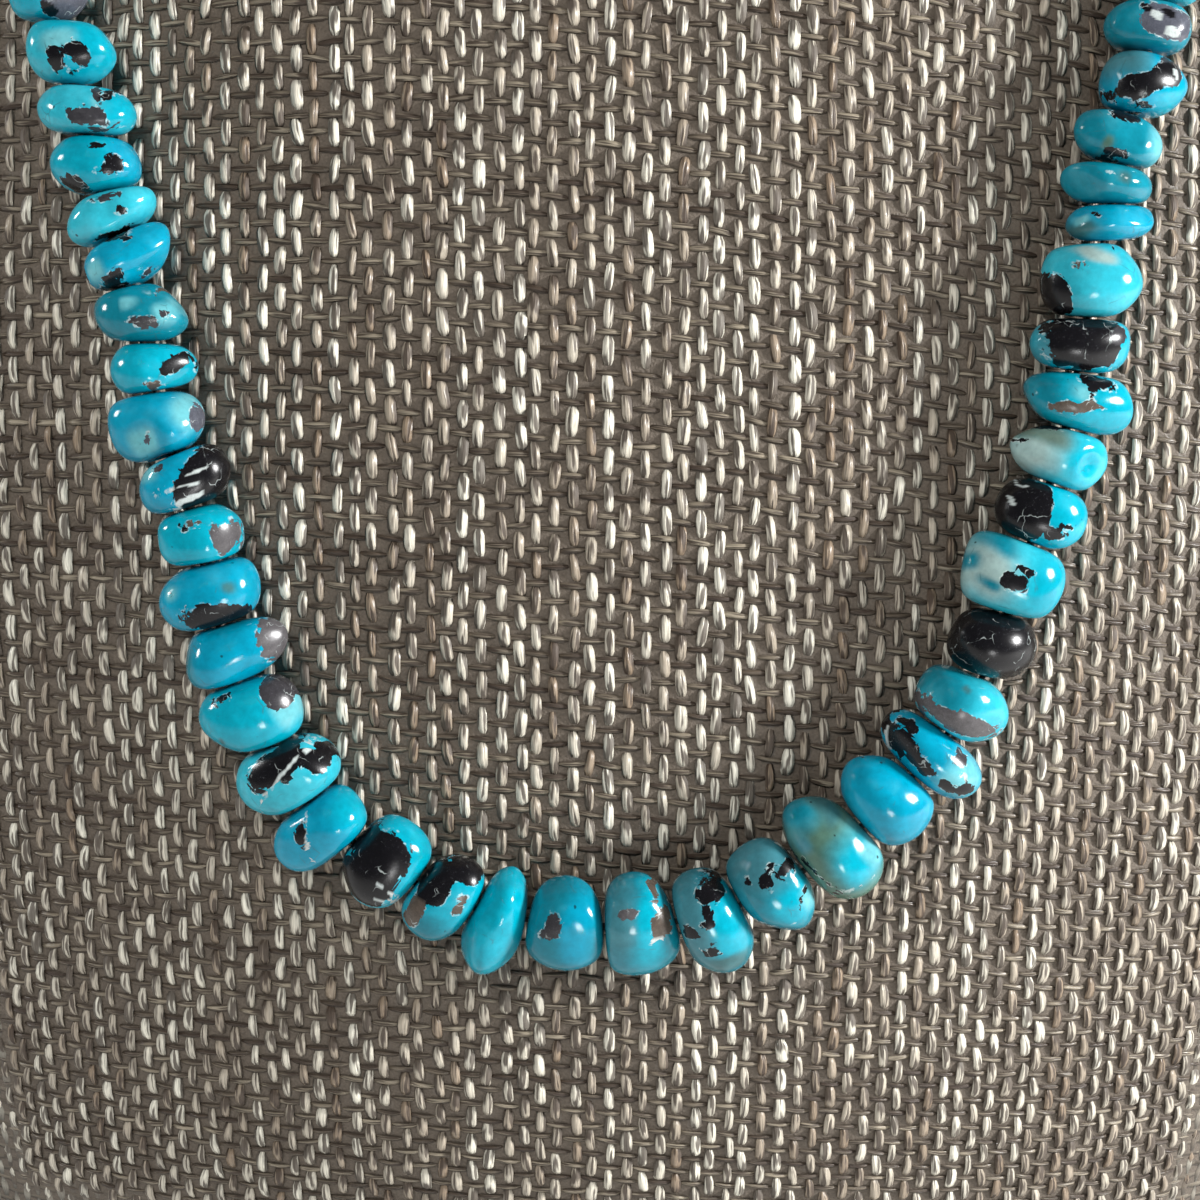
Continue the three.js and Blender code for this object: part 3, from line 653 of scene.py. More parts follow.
# Patches on each stone, in its own axes, a later one over an earlier one: rocks have hard edges,
# and other tints soft ones.
PATCHES = [
    # stone, x, y, half_x, half_y, turn, kind
    (1, 1.0, 2.5, 3.2, 2.1, 0, "slate"),
    (1, 2.4, 0.7, 0.6, 0.6, 0, "black"),
    (2, 0.0, -1.5, 3.0, 1.8, 0, "aqua"),
    (2, -0.3, 1.0, 0.9, 1.6, 0, "pale"),
    (2, 1.0, 0.5, 0.9, 0.9, 0, "black"),
    (2, 1.0, 2.4, 1.0, 0.9, 0, "black"),
    (2, 2.2, 1.2, 0.3, 0.3, 0, "black"),
    (3, 0.6, 3.2, 0.9, 0.8, 0, "pale"),
    (3, 1.0, 4.2, 2.0, 1.0, 0, "sky"),
    (3, 1.8, 1.9, 2.0, 0.75, 69, "grey"),
    (3, -0.8, 2.9, 1.4, 0.3, 15, "grey"),
    (3, 0.0, 3.8, 0.4, 0.5, 0, "black"),
    (4, 0.5, 3.6, 2.5, 1.2, 0, "deep"),
    (4, 1.0, 2.8, 0.8, 0.75, 0, "black"),
    (4, 1.4, 1.9, 0.16, 0.4, 0, "black"),
    (4, -0.95, 1.7, 0.3, 0.4, 0, "black"),
    (4, 1.6, -1.5, 1.8, 0.55, 44, "black"),
    (5, 0.0, 2.1, 0.22, 0.3, 0, "black"),
    (5, -1.3, 1.4, 0.3, 1.2, 0, "grey"),
    (5, 1.9, 0.2, 0.4, 1.3, 0, "black"),
    (6, 0.6, -1.3, 0.8, 0.7, 0, "pale"),
    (6, 1.2, 0.7, 0.5, 0.38, 0, "black"),
    (6, 2.3, -1.0, 0.7, 1.6, 20, "black"),
    (6, 0.3, -2.9, 0.6, 0.4, 0, "black"),
    (6, -2.1, 0.6, 0.5, 1.2, 0, "black"),
    (6, 2.1, 2.9, 0.65, 1.0, 0, "grey"),
    (7, -0.7, 0.9, 0.6, 0.6, 0, "pale"),
    (7, 0.6, 3.6, 0.9, 0.8, 0, "pale"),
    (7, 1.25, 1.8, 0.42, 0.85, 0, "grey"),
    (7, -0.7, 0.8, 0.22, 0.22, 0, "black"),
    (7, 0.7, 3.8, 0.35, 0.3, 0, "grey"),
    (7, -1.4, 3.4, 0.25, 0.35, 0, "brown"),
    (8, 0.4, 3.0, 0.85, 1.25, 0, "black"),
    (8, 1.8, 0.9, 0.35, 0.5, 0, "brown"),
    (9, 1.2, -1.3, 1.0, 1.3, 0, "pale"),
    (9, -0.6, 2.8, 1.7, 1.0, 0, "pale"),
    (9, 1.1, 4.0, 1.8, 0.7, 0, "slate"),
    (9, 1.2, -1.3, 0.25, 0.45, 30, "slate"),
    (10, -1.4, -1.7, 0.8, 0.8, 0, "pale"),
    (10, 0.6, 3.1, 3.5, 2.2, -31, "black"),
    (10, -1.6, -0.4, 0.35, 0.6, 0, "grey"),
    (10, -0.6, 2.9, 0.1, 1.2, 12, "white"),
    (10, 0.5, 1.9, 0.1, 0.9, 6, "white"),
    (10, 1.6, 1.4, 0.16, 1.5, 20, "white"),
    (11, 0.5, 3.3, 1.4, 1.0, 0, "taupe"),
    (11, -1.2, 1.5, 0.3, 0.55, 0, "brown"),
    (11, -1.3, 0.0, 0.16, 0.16, 0, "black"),
    (11, -0.8, 0.5, 0.22, 0.22, 0, "black"),
    (12, -1.0, -2.4, 0.7, 0.7, 0, "pale"),
    (12, -0.6, 2.8, 0.5, 0.7, 0, "murky"),
    (12, 1.9, 1.0, 2.7, 1.25, 82, "black"),
    (12, -1.0, -2.4, 0.35, 0.35, 0, "black"),
    (13, 0.5, -3.0, 2.0, 1.2, 0, "teal"),
    (13, -0.2, 5.7, 2.6, 1.6, 0, "taupe"),
    (14, 0.9, 4.3, 1.4, 1.2, 0, "pale"),
    (14, -1.3, 4.6, 1.8, 1.6, 0, "grey"),
    (14, -2.5, -0.5, 0.5, 0.9, 0, "black"),
    (14, 1.0, -2.2, 0.3, 0.3, 0, "murky"),
    (15, -1.3, 0.6, 1.6, 2.9, 0, "black"),
    (15, 0.35, 4.1, 1.0, 1.0, 0, "black"),
    (15, 0.3, 1.1, 0.35, 0.5, 0, "black"),
    (15, -0.2, 0.9, 2.3, 0.16, 108, "white"),
    (16, 0.8, 3.2, 2.5, 1.6, 0, "sky"),
    (16, -1.3, -1.5, 1.15, 0.55, -35, "black"),
    (16, -0.9, -1.1, 0.9, 0.07, -40, "white"),
    (17, -0.6, 0.0, 2.7, 3.95, 0, "black"),
    (17, 0.8, -0.8, 1.3, 0.08, -12, "white"),
    (17, 1.5, -1.9, 0.9, 0.06, 20, "white"),
    (18, -2.0, 4.6, 0.8, 0.9, 0, "dull"),
    (18, -0.4, -2.6, 2.4, 1.4, 0, "teal"),
    (18, -1.9, -1.3, 1.0, 1.8, 0, "brown"),
    (18, -1.2, 2.1, 1.6, 2.1, 0, "black"),
    (18, 1.0, 4.8, 1.8, 1.6, 0, "black"),
    (18, 1.65, 0.9, 0.3, 0.7, 0, "brown"),
    (19, 0.2, 5.4, 0.9, 0.12, -12, "black"),
    (20, 1.2, 0.5, 1.4, 3.6, 0, "deep"),
    (20, -1.1, 0.8, 0.8, 1.4, -12, "grey"),
    (20, -1.1, 0.0, 1.0, 0.4, 0, "grey"),
    (21, -1.8, 1.4, 1.5, 3.0, 0, "dull"),
    (21, 0.7, 1.0, 0.8, 3.8, 0, "sky"),
    (21, 1.2, -2.8, 2.2, 1.6, 0, "sky"),
    (21, -1.0, 2.3, 0.8, 0.5, 0, "taupe"),
    (21, 1.8, 1.0, 0.75, 1.2, 0, "brown"),
    (21, 1.3, 4.2, 0.4, 0.9, 0, "brown"),
    (21, 1.3, -0.6, 0.45, 0.3, 0, "white"),
    (22, -1.5, 0.5, 1.7, 5.0, 0, "dull"),
    (22, 1.3, -0.5, 1.3, 3.5, 0, "sky"),
    (22, 0.5, -4.0, 2.0, 0.8, 0, "murky"),
    (22, 0.5, 3.0, 1.4, 1.0, 0, "black"),
    (22, 0.0, 1.5, 0.45, 0.9, 0, "black"),
    (22, -2.0, 0.0, 0.9, 0.9, 0, "black"),
    (22, -0.5, 0.8, 0.5, 0.4, 0, "black"),
    (22, -0.4, -2.0, 0.8, 0.6, 0, "black"),
    (22, 0.5, 5.2, 0.9, 0.5, 0, "black"),
    (23, 0.0, 3.2, 3.0, 2.0, 0, "dull"),
    (23, 1.0, -1.0, 2.2, 1.8, 0, "sky"),
    (23, 2.8, -1.6, 0.8, 1.2, 0, "pale"),
    (23, 0.1, 2.4, 0.6, 0.9, 0, "black"),
    (23, 2.0, 2.2, 0.9, 0.6, 0, "black"),
    (23, 0.7, 3.2, 0.6, 0.4, 0, "black"),
    (23, -1.6, 3.0, 0.3, 0.4, 0, "black"),
    (23, 2.1, -1.0, 1.4, 0.1, 41, "black"),
    (24, -0.5, 5.3, 1.7, 1.2, 0, "teal"),
    (24, -1.9, 3.2, 0.8, 1.0, 0, "dull"),
    (24, 1.2, -1.0, 2.1, 2.4, 0, "sky"),
    (24, 1.9, 4.2, 1.0, 1.5, 0, "murky"),
    (24, 2.6, -1.6, 0.7, 1.3, 0, "pale"),
    (24, -2.2, -0.6, 1.9, 0.14, -75, "black"),
    (24, -0.6, -2.9, 1.2, 0.12, -21, "black"),
    (26, 0.2, -2.6, 1.8, 1.8, 0, "pale"),
    (26, -0.3, 5.5, 0.9, 1.1, 0, "black"),
    (26, -0.6, 3.4, 0.8, 1.6, 0, "black"),
    (26, -1.1, 1.5, 0.7, 1.6, 0, "black"),
    (26, 0.9, 4.5, 0.5, 0.6, 0, "black"),
    (26, -0.7, 4.7, 0.8, 0.1, 35, "white"),
    (26, 1.4, -1.2, 0.4, 0.5, 0, "grey"),
    (26, -0.5, -3.5, 0.9, 0.9, 0, "black"),
    (26, -1.2, -2.1, 0.6, 0.9, 0, "black"),
    (26, 0.5, -2.1, 0.35, 0.5, 0, "white"),
    (27, 0.8, 3.2, 2.0, 2.0, 0, "teal"),
    (27, -1.2, 0.9, 4.0, 1.0, -83, "taupe"),
    (27, 1.7, 2.0, 0.3, 0.3, 0, "murky"),
    (28, 0.0, 0.0, 14.0, 14.0, 0, "black"),
    (29, 0.0, 4.2, 2.4, 2.4, 0, "cream"),
    (29, 0.0, -1.7, 3.0, 2.2, 0, "sky"),
    (29, -1.0, 3.6, 0.5, 0.9, 0, "teal"),
    (29, 2.6, 3.4, 0.8, 1.4, 0, "teal"),
    (29, 0.3, 5.5, 0.8, 0.7, 0, "teal"),
    (29, 0.0, 1.9, 0.8, 1.05, 0, "black"),
    (29, 1.2, 1.2, 0.28, 0.6, 0, "black"),
    (30, -0.3, 2.7, 3.2, 2.5, 0, "black"),
    (30, -1.3, -0.6, 0.65, 1.2, 0, "black"),
    (30, 0.4, 3.7, 0.6, 0.15, 20, "white"),
    (30, 2.0, 2.9, 0.8, 0.12, 70, "white"),
    (30, -0.3, -1.6, 0.2, 0.35, 0, "black"),
    (31, -0.3, 3.2, 1.8, 2.1, 0, "cream"),
    (31, -0.2, -1.7, 1.9, 1.5, 0, "sky"),
    (31, 1.5, 2.8, 0.9, 2.6, 0, "sage"),
    (31, 2.3, 2.4, 0.45, 1.8, 0, "black"),
    (31, 0.5, 4.7, 0.16, 0.5, 0, "black"),
    (32, 0.9, 0.3, 0.6, 1.0, 0, "pale"),
    (32, 0.0, 3.4, 2.2, 1.6, 0, "teal"),
    (32, -0.3, 0.5, 2.0, 0.5, -71, "brown"),
    (32, 0.7, -0.5, 0.25, 0.3, 0, "black"),
    (32, 1.9, -0.9, 0.5, 1.4, 0, "black"),
    (33, 0.0, 3.8, 2.0, 0.8, 0, "dull"),
    (33, 0.3, 0.9, 2.7, 3.4, 0, "black"),
    (33, 1.2, -2.2, 0.8, 0.9, 0, "grey"),
    (34, 1.9, 1.6, 0.5, 1.8, 0, "cream"),
    (34, -2.75, 5.0, 3.2, 1.8, 40, "black"),
    (34, 0.8, 2.9, 0.15, 0.4, 20, "brown"),
    (34, 2.7, 0.0, 0.2, 0.2, 0, "black"),
    (35, -1.3, 2.8, 0.7, 1.1, 0, "murky"),
    (35, -0.4, 3.0, 0.4, 0.5, 0, "pale"),
    (35, 0.1, 2.1, 0.16, 0.2, 0, "black"),
    (36, 0.4, 0.6, 0.5, 0.7, 0, "murky"),
    (36, 0.4, 0.6, 0.12, 0.5, 0, "black"),
    (37, 0.0, -2.4, 1.5, 1.0, 0, "pale"),
    (37, -1.3, 2.4, 0.6, 0.5, 0, "olive"),
    (37, 1.5, 1.0, 0.6, 1.4, 0, "black"),
    (37, -2.0, 1.6, 0.3, 0.8, 0, "black"),
    (38, 1.4, 2.6, 1.8, 1.8, 0, "dull"),
    (38, -1.2, -2.4, 1.6, 1.2, 0, "sky"),
    (38, 1.0, -1.4, 1.1, 1.3, 0, "grey"),
    (38, -0.3, 0.4, 2.9, 1.0, -50, "black"),
    (38, -2.5, -0.2, 0.28, 0.8, 0, "black"),
    (38, 1.0, -1.9, 0.5, 0.2, 30, "white"),
    (39, 0.0, 0.0, 1.5, 2.2, 0, "slate"),
    (39, -0.6, -0.6, 0.5, 0.8, 0, "white"),
    (39, 0.3, 1.2, 0.35, 0.4, 0, "white"),
    (39, 0.6, 2.1, 0.4, 0.5, 0, "black"),
    (39, 0.9, 0.2, 0.35, 0.8, 0, "black"),
    (40, -0.5, 2.8, 0.8, 0.8, 0, "black"),
]

# Hollows in a stone's face, and bulges where the depth is less than nought.
DENTS = [
    # stone, x, y, radius, depth
    (5, 0.2, 1.2, 1.3, 0.5),
    (9, 0.8, -1.2, 1.8, 0.9),
    (31, -0.1, -2.3, 1.0, 0.5),
    (37, 0.0, 0.6, 1.6, 0.4),
    (21, 0.0, 2.0, 1.8, 0.3),
    (19, -1.4, -3.6, 2.0, -0.8),
]

# Stones that are egg-shaped: how much wider along the thread they are outside the loop than inside.
EGGS = {
    9: 0.15, 12: -0.15, 14: -0.15, 19: 0.2, 20: 0.18, 21: 0.25, 23: -0.25, 25: 0.12, 27: -0.15,
    31: 0.25, 32: 0.2, 34: -0.15,
}

# A stone's rounded block against its row of the table: worn flats and planes then cut it back.
WIDTH_FACTOR = 1.05
DEPTH_FACTOR = 1.04
SQUARE_CUT = 0.25
LENGTH_FACTOR = 0.60
SWELL = 0.085
FLATS = 5
SHARPNESS = 10
STONE_SEED = 500

# A patch's outline: how square it is, how far and how often it wavers, and how soft a tint's is.
PATCH_SQUARE = 2.6
PATCH_WAVER = 0.22
PATCH_WAVES = 2.2
TINT_SOFTNESS = 1.1

# How far out a stone's patches reach down its sides, and the distance into rock where none is.
PATCH_FOOT = -1
NO_ROCK = -3.0

CHEST_START = LOWEST_JOINT - PITCH[:20].sum()
JOINTS = CHEST_START + np.concatenate([[0], np.cumsum(PITCH)])
CHEST_END = JOINTS[-1]


def joint_plane(index):
    """Where two stones meet: a point on the thread, and the normal of the plane between them.

    The normal is the thread's direction, turned by the mean of the two stones' turns.
    """
    lean = -math.radians((TURN[max(index - 1, 0)] + TURN[min(index, len(TURN) - 1)]) / 2)
    point = thread_point(JOINTS[index])
    axes = frame_at(point, thread_direction(JOINTS[index]))
    return point, np.array([math.cos(lean), math.sin(lean), 0]) @ axes


def stone_setting(index):
    """A stone's centre, its axes, and the planes that clip it: two joints and the cloth under it.

    A plane is its normal in the stone's axes, and its distance from the centre.
    """
    first, first_normal = joint_plane(index)
    last, last_normal = joint_plane(index + 1)
    centre = (first + last) / 2
    axes = frame_at(centre, last - first)
    clips = [
        (axes @ -first_normal, (centre - first) @ first_normal - STONE_GAP / 2),
        (axes @ last_normal, (last - centre) @ last_normal - STONE_GAP / 2),
        (np.array([0, 0, -1.0]), THREAD_LIFT - CLOTH_ROOM),
    ]
    return centre, axes, clips


def swell(direction, random, amount):
    """One plus a sum of slow cosines of the direction, so that no two stones are alike."""
    waves = 6
    axes = unit(random.normal(size=(waves, 3)))
    pace = random.uniform(1.2, 2.8, waves)
    phase = random.uniform(0, 2 * math.pi, waves)
    return 1 + amount * np.cos((direction @ axes.T) * pace + phase).sum(-1) / math.sqrt(waves)


def stone_points(row, clips, random, around, across, dents=(), egg=0):
    """A stone's surface as a grid: rings round the thread axis, whose last ring closes through the bore.

    The radius in each direction is the power mean of a rounded block, a few worn flats and the
    clipping planes, so each of them shows where it is nearest, with a soft edge between them.
    The block's distances along, beside and out are raised to the row's squareness and summed,
    with its length growing or shrinking by the egg's share towards one side.
    """
    pitch, width, depth, shift, turn, square = row[:6]
    width = width * WIDTH_FACTOR
    depth = depth * DEPTH_FACTOR
    square = square - SQUARE_CUT
    bore = math.asin(min(0.9, 2 * BORE_RADIUS / width))
    polar = np.linspace(bore, math.pi - bore, across)[:, None]
    spin = np.linspace(0, 2 * math.pi, around, endpoint=False)[None]
    direction = unit(np.stack([
        pitch * np.cos(polar) + 0 * spin,
        width * np.sin(polar) * np.cos(spin),
        depth * np.sin(polar) * np.sin(spin),
    ], -1))

    def body(d):
        """How many times the rounded block's own radius fits in a vector."""
        angle = math.radians(turn)
        along = d[..., 0] * math.cos(angle) - d[..., 1] * math.sin(angle)
        beside = d[..., 1] * math.cos(angle) + d[..., 0] * math.sin(angle)
        half_width = width / 2 + np.sign(beside) * shift
        return (
            np.abs(along / (pitch * LENGTH_FACTOR * (1 - egg * beside))) ** square
            + np.abs(beside / half_width) ** square
            + np.abs(2 * d[..., 2] / depth) ** square
        ) ** (1 / square)

    total = (body(direction) / swell(direction, random, SWELL)) ** SHARPNESS
    for normal in unit(random.normal(size=(FLATS, 3)) * (0.6, 1, 1)):
        nearness = random.uniform(0.95, 1.05) / body(normal)
        total = total + np.maximum(direction @ normal / nearness, 0) ** SHARPNESS
    for normal, distance in clips:
        total = total + np.maximum(direction @ normal / distance, 0) ** SHARPNESS
    points = direction * total[..., None] ** (-1 / SHARPNESS)
    for x, y, radius, hollow in dents:
        near = np.exp(-((points[..., 0] - x) ** 2 + (points[..., 1] - y) ** 2) / radius**2)
        points = points - direction * (hollow * near * (points[..., 2] > 0))[..., None]
    return points


def patch_fields(points, tone, patches):
    """Colour fields over a stone's own points: its tint, its distance into rock and the rock's tint.

    A patch is an ellipse with square shoulders: its distance inwards is the smaller half times one
    minus the power mean of the two ways from its middle. Tints fade in by a smooth step.
    """
    bent = points + PATCH_WAVER * np.sin(PATCH_WAVES * points[:, ::-1])
    tint = np.tile(COLOURS[tone], (len(points), 1))
    rock = np.full(len(points), NO_ROCK)
    rock_tint = np.tile(COLOURS["black"], (len(points), 1))
    for x, y, half_x, half_y, turn, kind in patches:
        angle = math.radians(turn)
        dx, dy = bent[:, 0] - x, bent[:, 1] - y
        along = (dx * math.cos(angle) + dy * math.sin(angle)) / half_x
        beside = (dy * math.cos(angle) - dx * math.sin(angle)) / half_y
        reach = (np.abs(along) ** PATCH_SQUARE + np.abs(beside) ** PATCH_SQUARE) ** (1 / PATCH_SQUARE)
        inside = min(half_x, half_y) * (1 - reach)
        inside = inside - 2 * np.maximum(PATCH_FOOT - points[:, 2], 0)
        if kind in ROCKS:
            nearer = inside > np.minimum(rock, 0)
            rock = np.maximum(rock, inside)
            rock_tint = np.where(nearer[:, None], COLOURS[kind], rock_tint)
        else:
            soft = np.clip(inside / (TINT_SOFTNESS * min(half_x, half_y)) + 0.5, 0, 1)[:, None]
            soft = soft * soft * (3 - 2 * soft)
            tint = tint + (np.array(COLOURS[kind]) - tint) * soft
    return tint, rock, rock_tint


FIELD_NAMES = ("tint", "rock", "rock_tint")


def visible_stone(index, around=80, across=52):
    """One chest stone as a piece of its own."""
    number = index + 1
    row = STONES[index]
    tone = row[-1]
    centre, axes, clips = stone_setting(index)
    random = np.random.default_rng(STONE_SEED + index)
    dents = [dent[1:] for dent in DENTS if dent[0] == number]
    local = stone_points(row, clips, random, around, across, dents, EGGS.get(number, 0))
    local = local.reshape(-1, 3)
    patches = [patch[1:] for patch in PATCHES if patch[0] == number]
    fields = list(zip(FIELD_NAMES, patch_fields(local, tone, patches)))
    points = centre + local @ axes
    quads = facing_out(points, wrapped_faces(across, around, close_rows=True))
    name = "stone_%02d" % number
    make_piece("polished_" + name, points, [quads], STONE_FINISH, [name], fields)


for index in range(len(STONES)):
    visible_stone(index)

# ---- the hidden stones, the thread and the clasp

RUN_WIDTH = 7.8
RUN_DEPTH = 6.9
RUN_SQUARE = 2.3
RUN_SEED = 900
SHARE_SWING = 0.14
SHARE_PACE = 2.4
SIZE_SWING = 0.06
SIZE_PACE = 1.7
CLASP_LENGTH = 14
CLASP_RADIUS = 2.3
CLASP_NOZZLE = 1.1
GRIP_AT = 2
GRIP_HALF = 1.6
GRIP_DEPTH = 0.05
KNURLS = 24
THREAD_END_GAP = 0.5
THREAD_TWIST = 2.2
PLY_SWING = 0.14


def random_patches(random):
    """Up to three patches of rock or tint, anywhere on a stone."""
    kinds = ("black", "grey", "black", "taupe", "pale", "teal", "white")
    for _ in range(random.integers(0, 4)):
        reach = random.uniform(0.4, 2.2)
        yield (
            random.uniform(-2.5, 2.5), random.uniform(-3.5, 3.5), reach, reach * random.uniform(0.3, 1.0),
            random.uniform(0, 180), kinds[random.integers(len(kinds))],
        )


def hidden_run(name, start, end, first, around=40, across=26):
    """Twelve stones from start to end along the thread, joined in one piece.

    Their shares of the way, and their sizes, swing by sines of their count from first.
    """
    shares = 1 + SHARE_SWING * np.sin(SHARE_PACE * (first + np.arange(STONES_PER_RUN)))
    joints = start + (end - start) * np.concatenate([[0], np.cumsum(shares)]) / shares.sum()
    stones, quads = [], []
    for stone in range(STONES_PER_RUN):
        random = np.random.default_rng(RUN_SEED + first + stone)
        here, there = thread_point(joints[stone]), thread_point(joints[stone + 1])
        centre = (here + there) / 2
        axes = frame_at(centre, there - here)
        half = np.linalg.norm(there - here) / 2 - STONE_GAP / 2
        clips = [
            (np.array([-1.0, 0, 0]), half),
            (np.array([1.0, 0, 0]), half),
            (np.array([0, 0, -1.0]), THREAD_LIFT - CLOTH_ROOM),
        ]
        size = 1 + SIZE_SWING * math.sin(SIZE_PACE * (first + stone))
        pitch = joints[stone + 1] - joints[stone]
        row = (pitch, RUN_WIDTH * size, RUN_DEPTH * size, 0, 0, RUN_SQUARE)
        local = stone_points(row, clips, random, around, across).reshape(-1, 3)
        tone = ("sky", "aqua", "deep", "teal")[random.integers(4)]
        placed = centre + local @ axes
        faces = facing_out(placed, wrapped_faces(across, around, close_rows=True))
        quads.append(faces + stone * len(placed))
        stones.append((placed,) + patch_fields(local, tone, random_patches(random)))
    points, *fields = (np.concatenate(values) for values in zip(*stones))
    fields = list(zip(FIELD_NAMES, fields))
    faces = [np.vstack(quads)]
    make_piece("polished_" + name, points, faces, STONE_FINISH, [name], fields)


clasp_at = (CHEST_END + CHEST_START + LOOP_LENGTH) / 2
clasp_start = clasp_at - CLASP_LENGTH / 2
clasp_end = clasp_at + CLASP_LENGTH / 2
right_middle = (CHEST_END + clasp_start) / 2
left_middle = (clasp_end + CHEST_START + LOOP_LENGTH) / 2
hidden_run("right_shoulder_stones", CHEST_END, right_middle, 0)
hidden_run("right_neck_stones", right_middle, clasp_start, 12)
hidden_run("left_neck_stones", clasp_end, left_middle, 24)
hidden_run("left_shoulder_stones", left_middle, CHEST_START + LOOP_LENGTH, 36)


def capped(quads, rows, columns):
    """Faces of a wrapped grid with its two open ends closed by one face each.

    The ends run the other way along the edge that they share with the quads beside them.
    """
    first = np.arange(columns)
    last = (rows - 1) * columns + first
    shared_edge = quads[0]
    forward = (np.roll(shared_edge, -1) == 1)[shared_edge == 0].any()
    ends = (first[::-1], last) if forward else (first, last[::-1])
    return [quads, ends[0][None], ends[1][None]]


def thread_piece(steps=900, sides=10):
    """The beading thread, along the loop from one side of the clasp to the other.

    Its two-ply section has a radius that swings twice round, and turns with the way along.
    """
    start = clasp_end - LOOP_LENGTH + THREAD_END_GAP
    distance = np.linspace(start, clasp_start - THREAD_END_GAP, steps)
    axes = frame_at(thread_point(distance), thread_direction(distance))
    spin = np.linspace(0, 2 * math.pi, sides, endpoint=False)
    twist = THREAD_TWIST * distance[:, None]
    radius = THREAD_RADIUS * (1 - PLY_SWING + PLY_SWING * np.cos(2 * (spin - twist)))
    ring = np.stack([radius * np.cos(spin), radius * np.sin(spin)], -1)
    points = (thread_point(distance)[:, None] + ring @ axes[:, 1:]).reshape(-1, 3)
    faces = capped(facing_out(points, wrapped_faces(steps, sides)), steps, sides)
    make_piece("beading_thread", points, faces, THREAD_FINISH, ["thread"])


thread_piece()


def clasp_piece(columns=48):
    """A barrel clasp: a profile turned round the thread, with two knurled grips and a screw seam."""
    profile = [
        # along from the seam, radius
        (0.02, 2.1), (0.08, CLASP_RADIUS), (0.35, CLASP_RADIUS), (0.5, 2.2), (3.5, 2.2),
        (3.6, 2.05), (3.8, 2.05), (3.9, CLASP_RADIUS), (4.7, CLASP_RADIUS), (5.2, 1.9),
        (5.45, 1.25), (5.6, CLASP_NOZZLE), (6.85, CLASP_NOZZLE), (7.0, 0.95), (7.0, 0.45),
    ]
    profile = [(-along, radius) for along, radius in profile[::-1]] + profile
    along, radius = np.array(profile).T
    spin = np.linspace(0, 2 * math.pi, columns, endpoint=False)
    on_grip = np.abs(np.abs(along) - GRIP_AT) < GRIP_HALF
    grip = on_grip[:, None] * GRIP_DEPTH * np.cos(KNURLS * spin)
    spread = radius[:, None] - np.abs(grip) * 2 + grip
    centre = thread_point(clasp_at)
    axes = frame_at(centre, thread_direction(clasp_at))
    local = np.stack([along[:, None] + 0 * spin, spread * np.cos(spin), spread * np.sin(spin)], -1)
    points = centre + local.reshape(-1, 3) @ axes
    quads = facing_out(points, wrapped_faces(len(along), columns, close_rows=True))
    make_piece("barrel_clasp", points, [quads], SILVER_FINISH, ["clasp"])


clasp_piece()

# ---- the neck bust

CLOTH_PITCH = 1.65
BUST_HEIGHT = 248
TOP_EDGE = 5
BASE_EDGE = 1.5
WEFT_DROP = 23
WEFT_SLOPE = 0.082

# The part of the chart that carries loose floats: threads each side of the front, rows of weft,
# and the threads over which the painted weave gives way to them.
FIELD_HALF = 41
FIELD_ROWS = (18, 106)
FIELD_FADE = 4


def weft_drop(around, half_round):
    """How far a weft thread has dropped below its height at the front, at a way round.

    It is the drop times one minus the turn's cosine, and a slight slope times its sine.
    """
    turned = math.pi * around / half_round
    return WEFT_DROP * (1 - np.cos(turned)) + WEFT_SLOPE * half_round / math.pi * np.sin(turned)


def lengths_along(points):
    """The length of a row of points up to each one, along the last axis but one."""
    steps = np.linalg.norm(np.diff(points, axis=-2), axis=-1)
    return np.concatenate([np.zeros(steps.shape[:-1] + (1,)), np.cumsum(steps, -1)], -1)


def field_share(chart):
    """One inside the part that carries loose floats, nought outside it and a slope at its edge."""
    across, up = chart[..., 0], chart[..., 1]
    from_ends = np.minimum(up - FIELD_ROWS[0], FIELD_ROWS[1] - up)
    inset = np.minimum(FIELD_HALF - np.abs(across), from_ends)
    return np.clip(inset / FIELD_FADE, 0, 1)


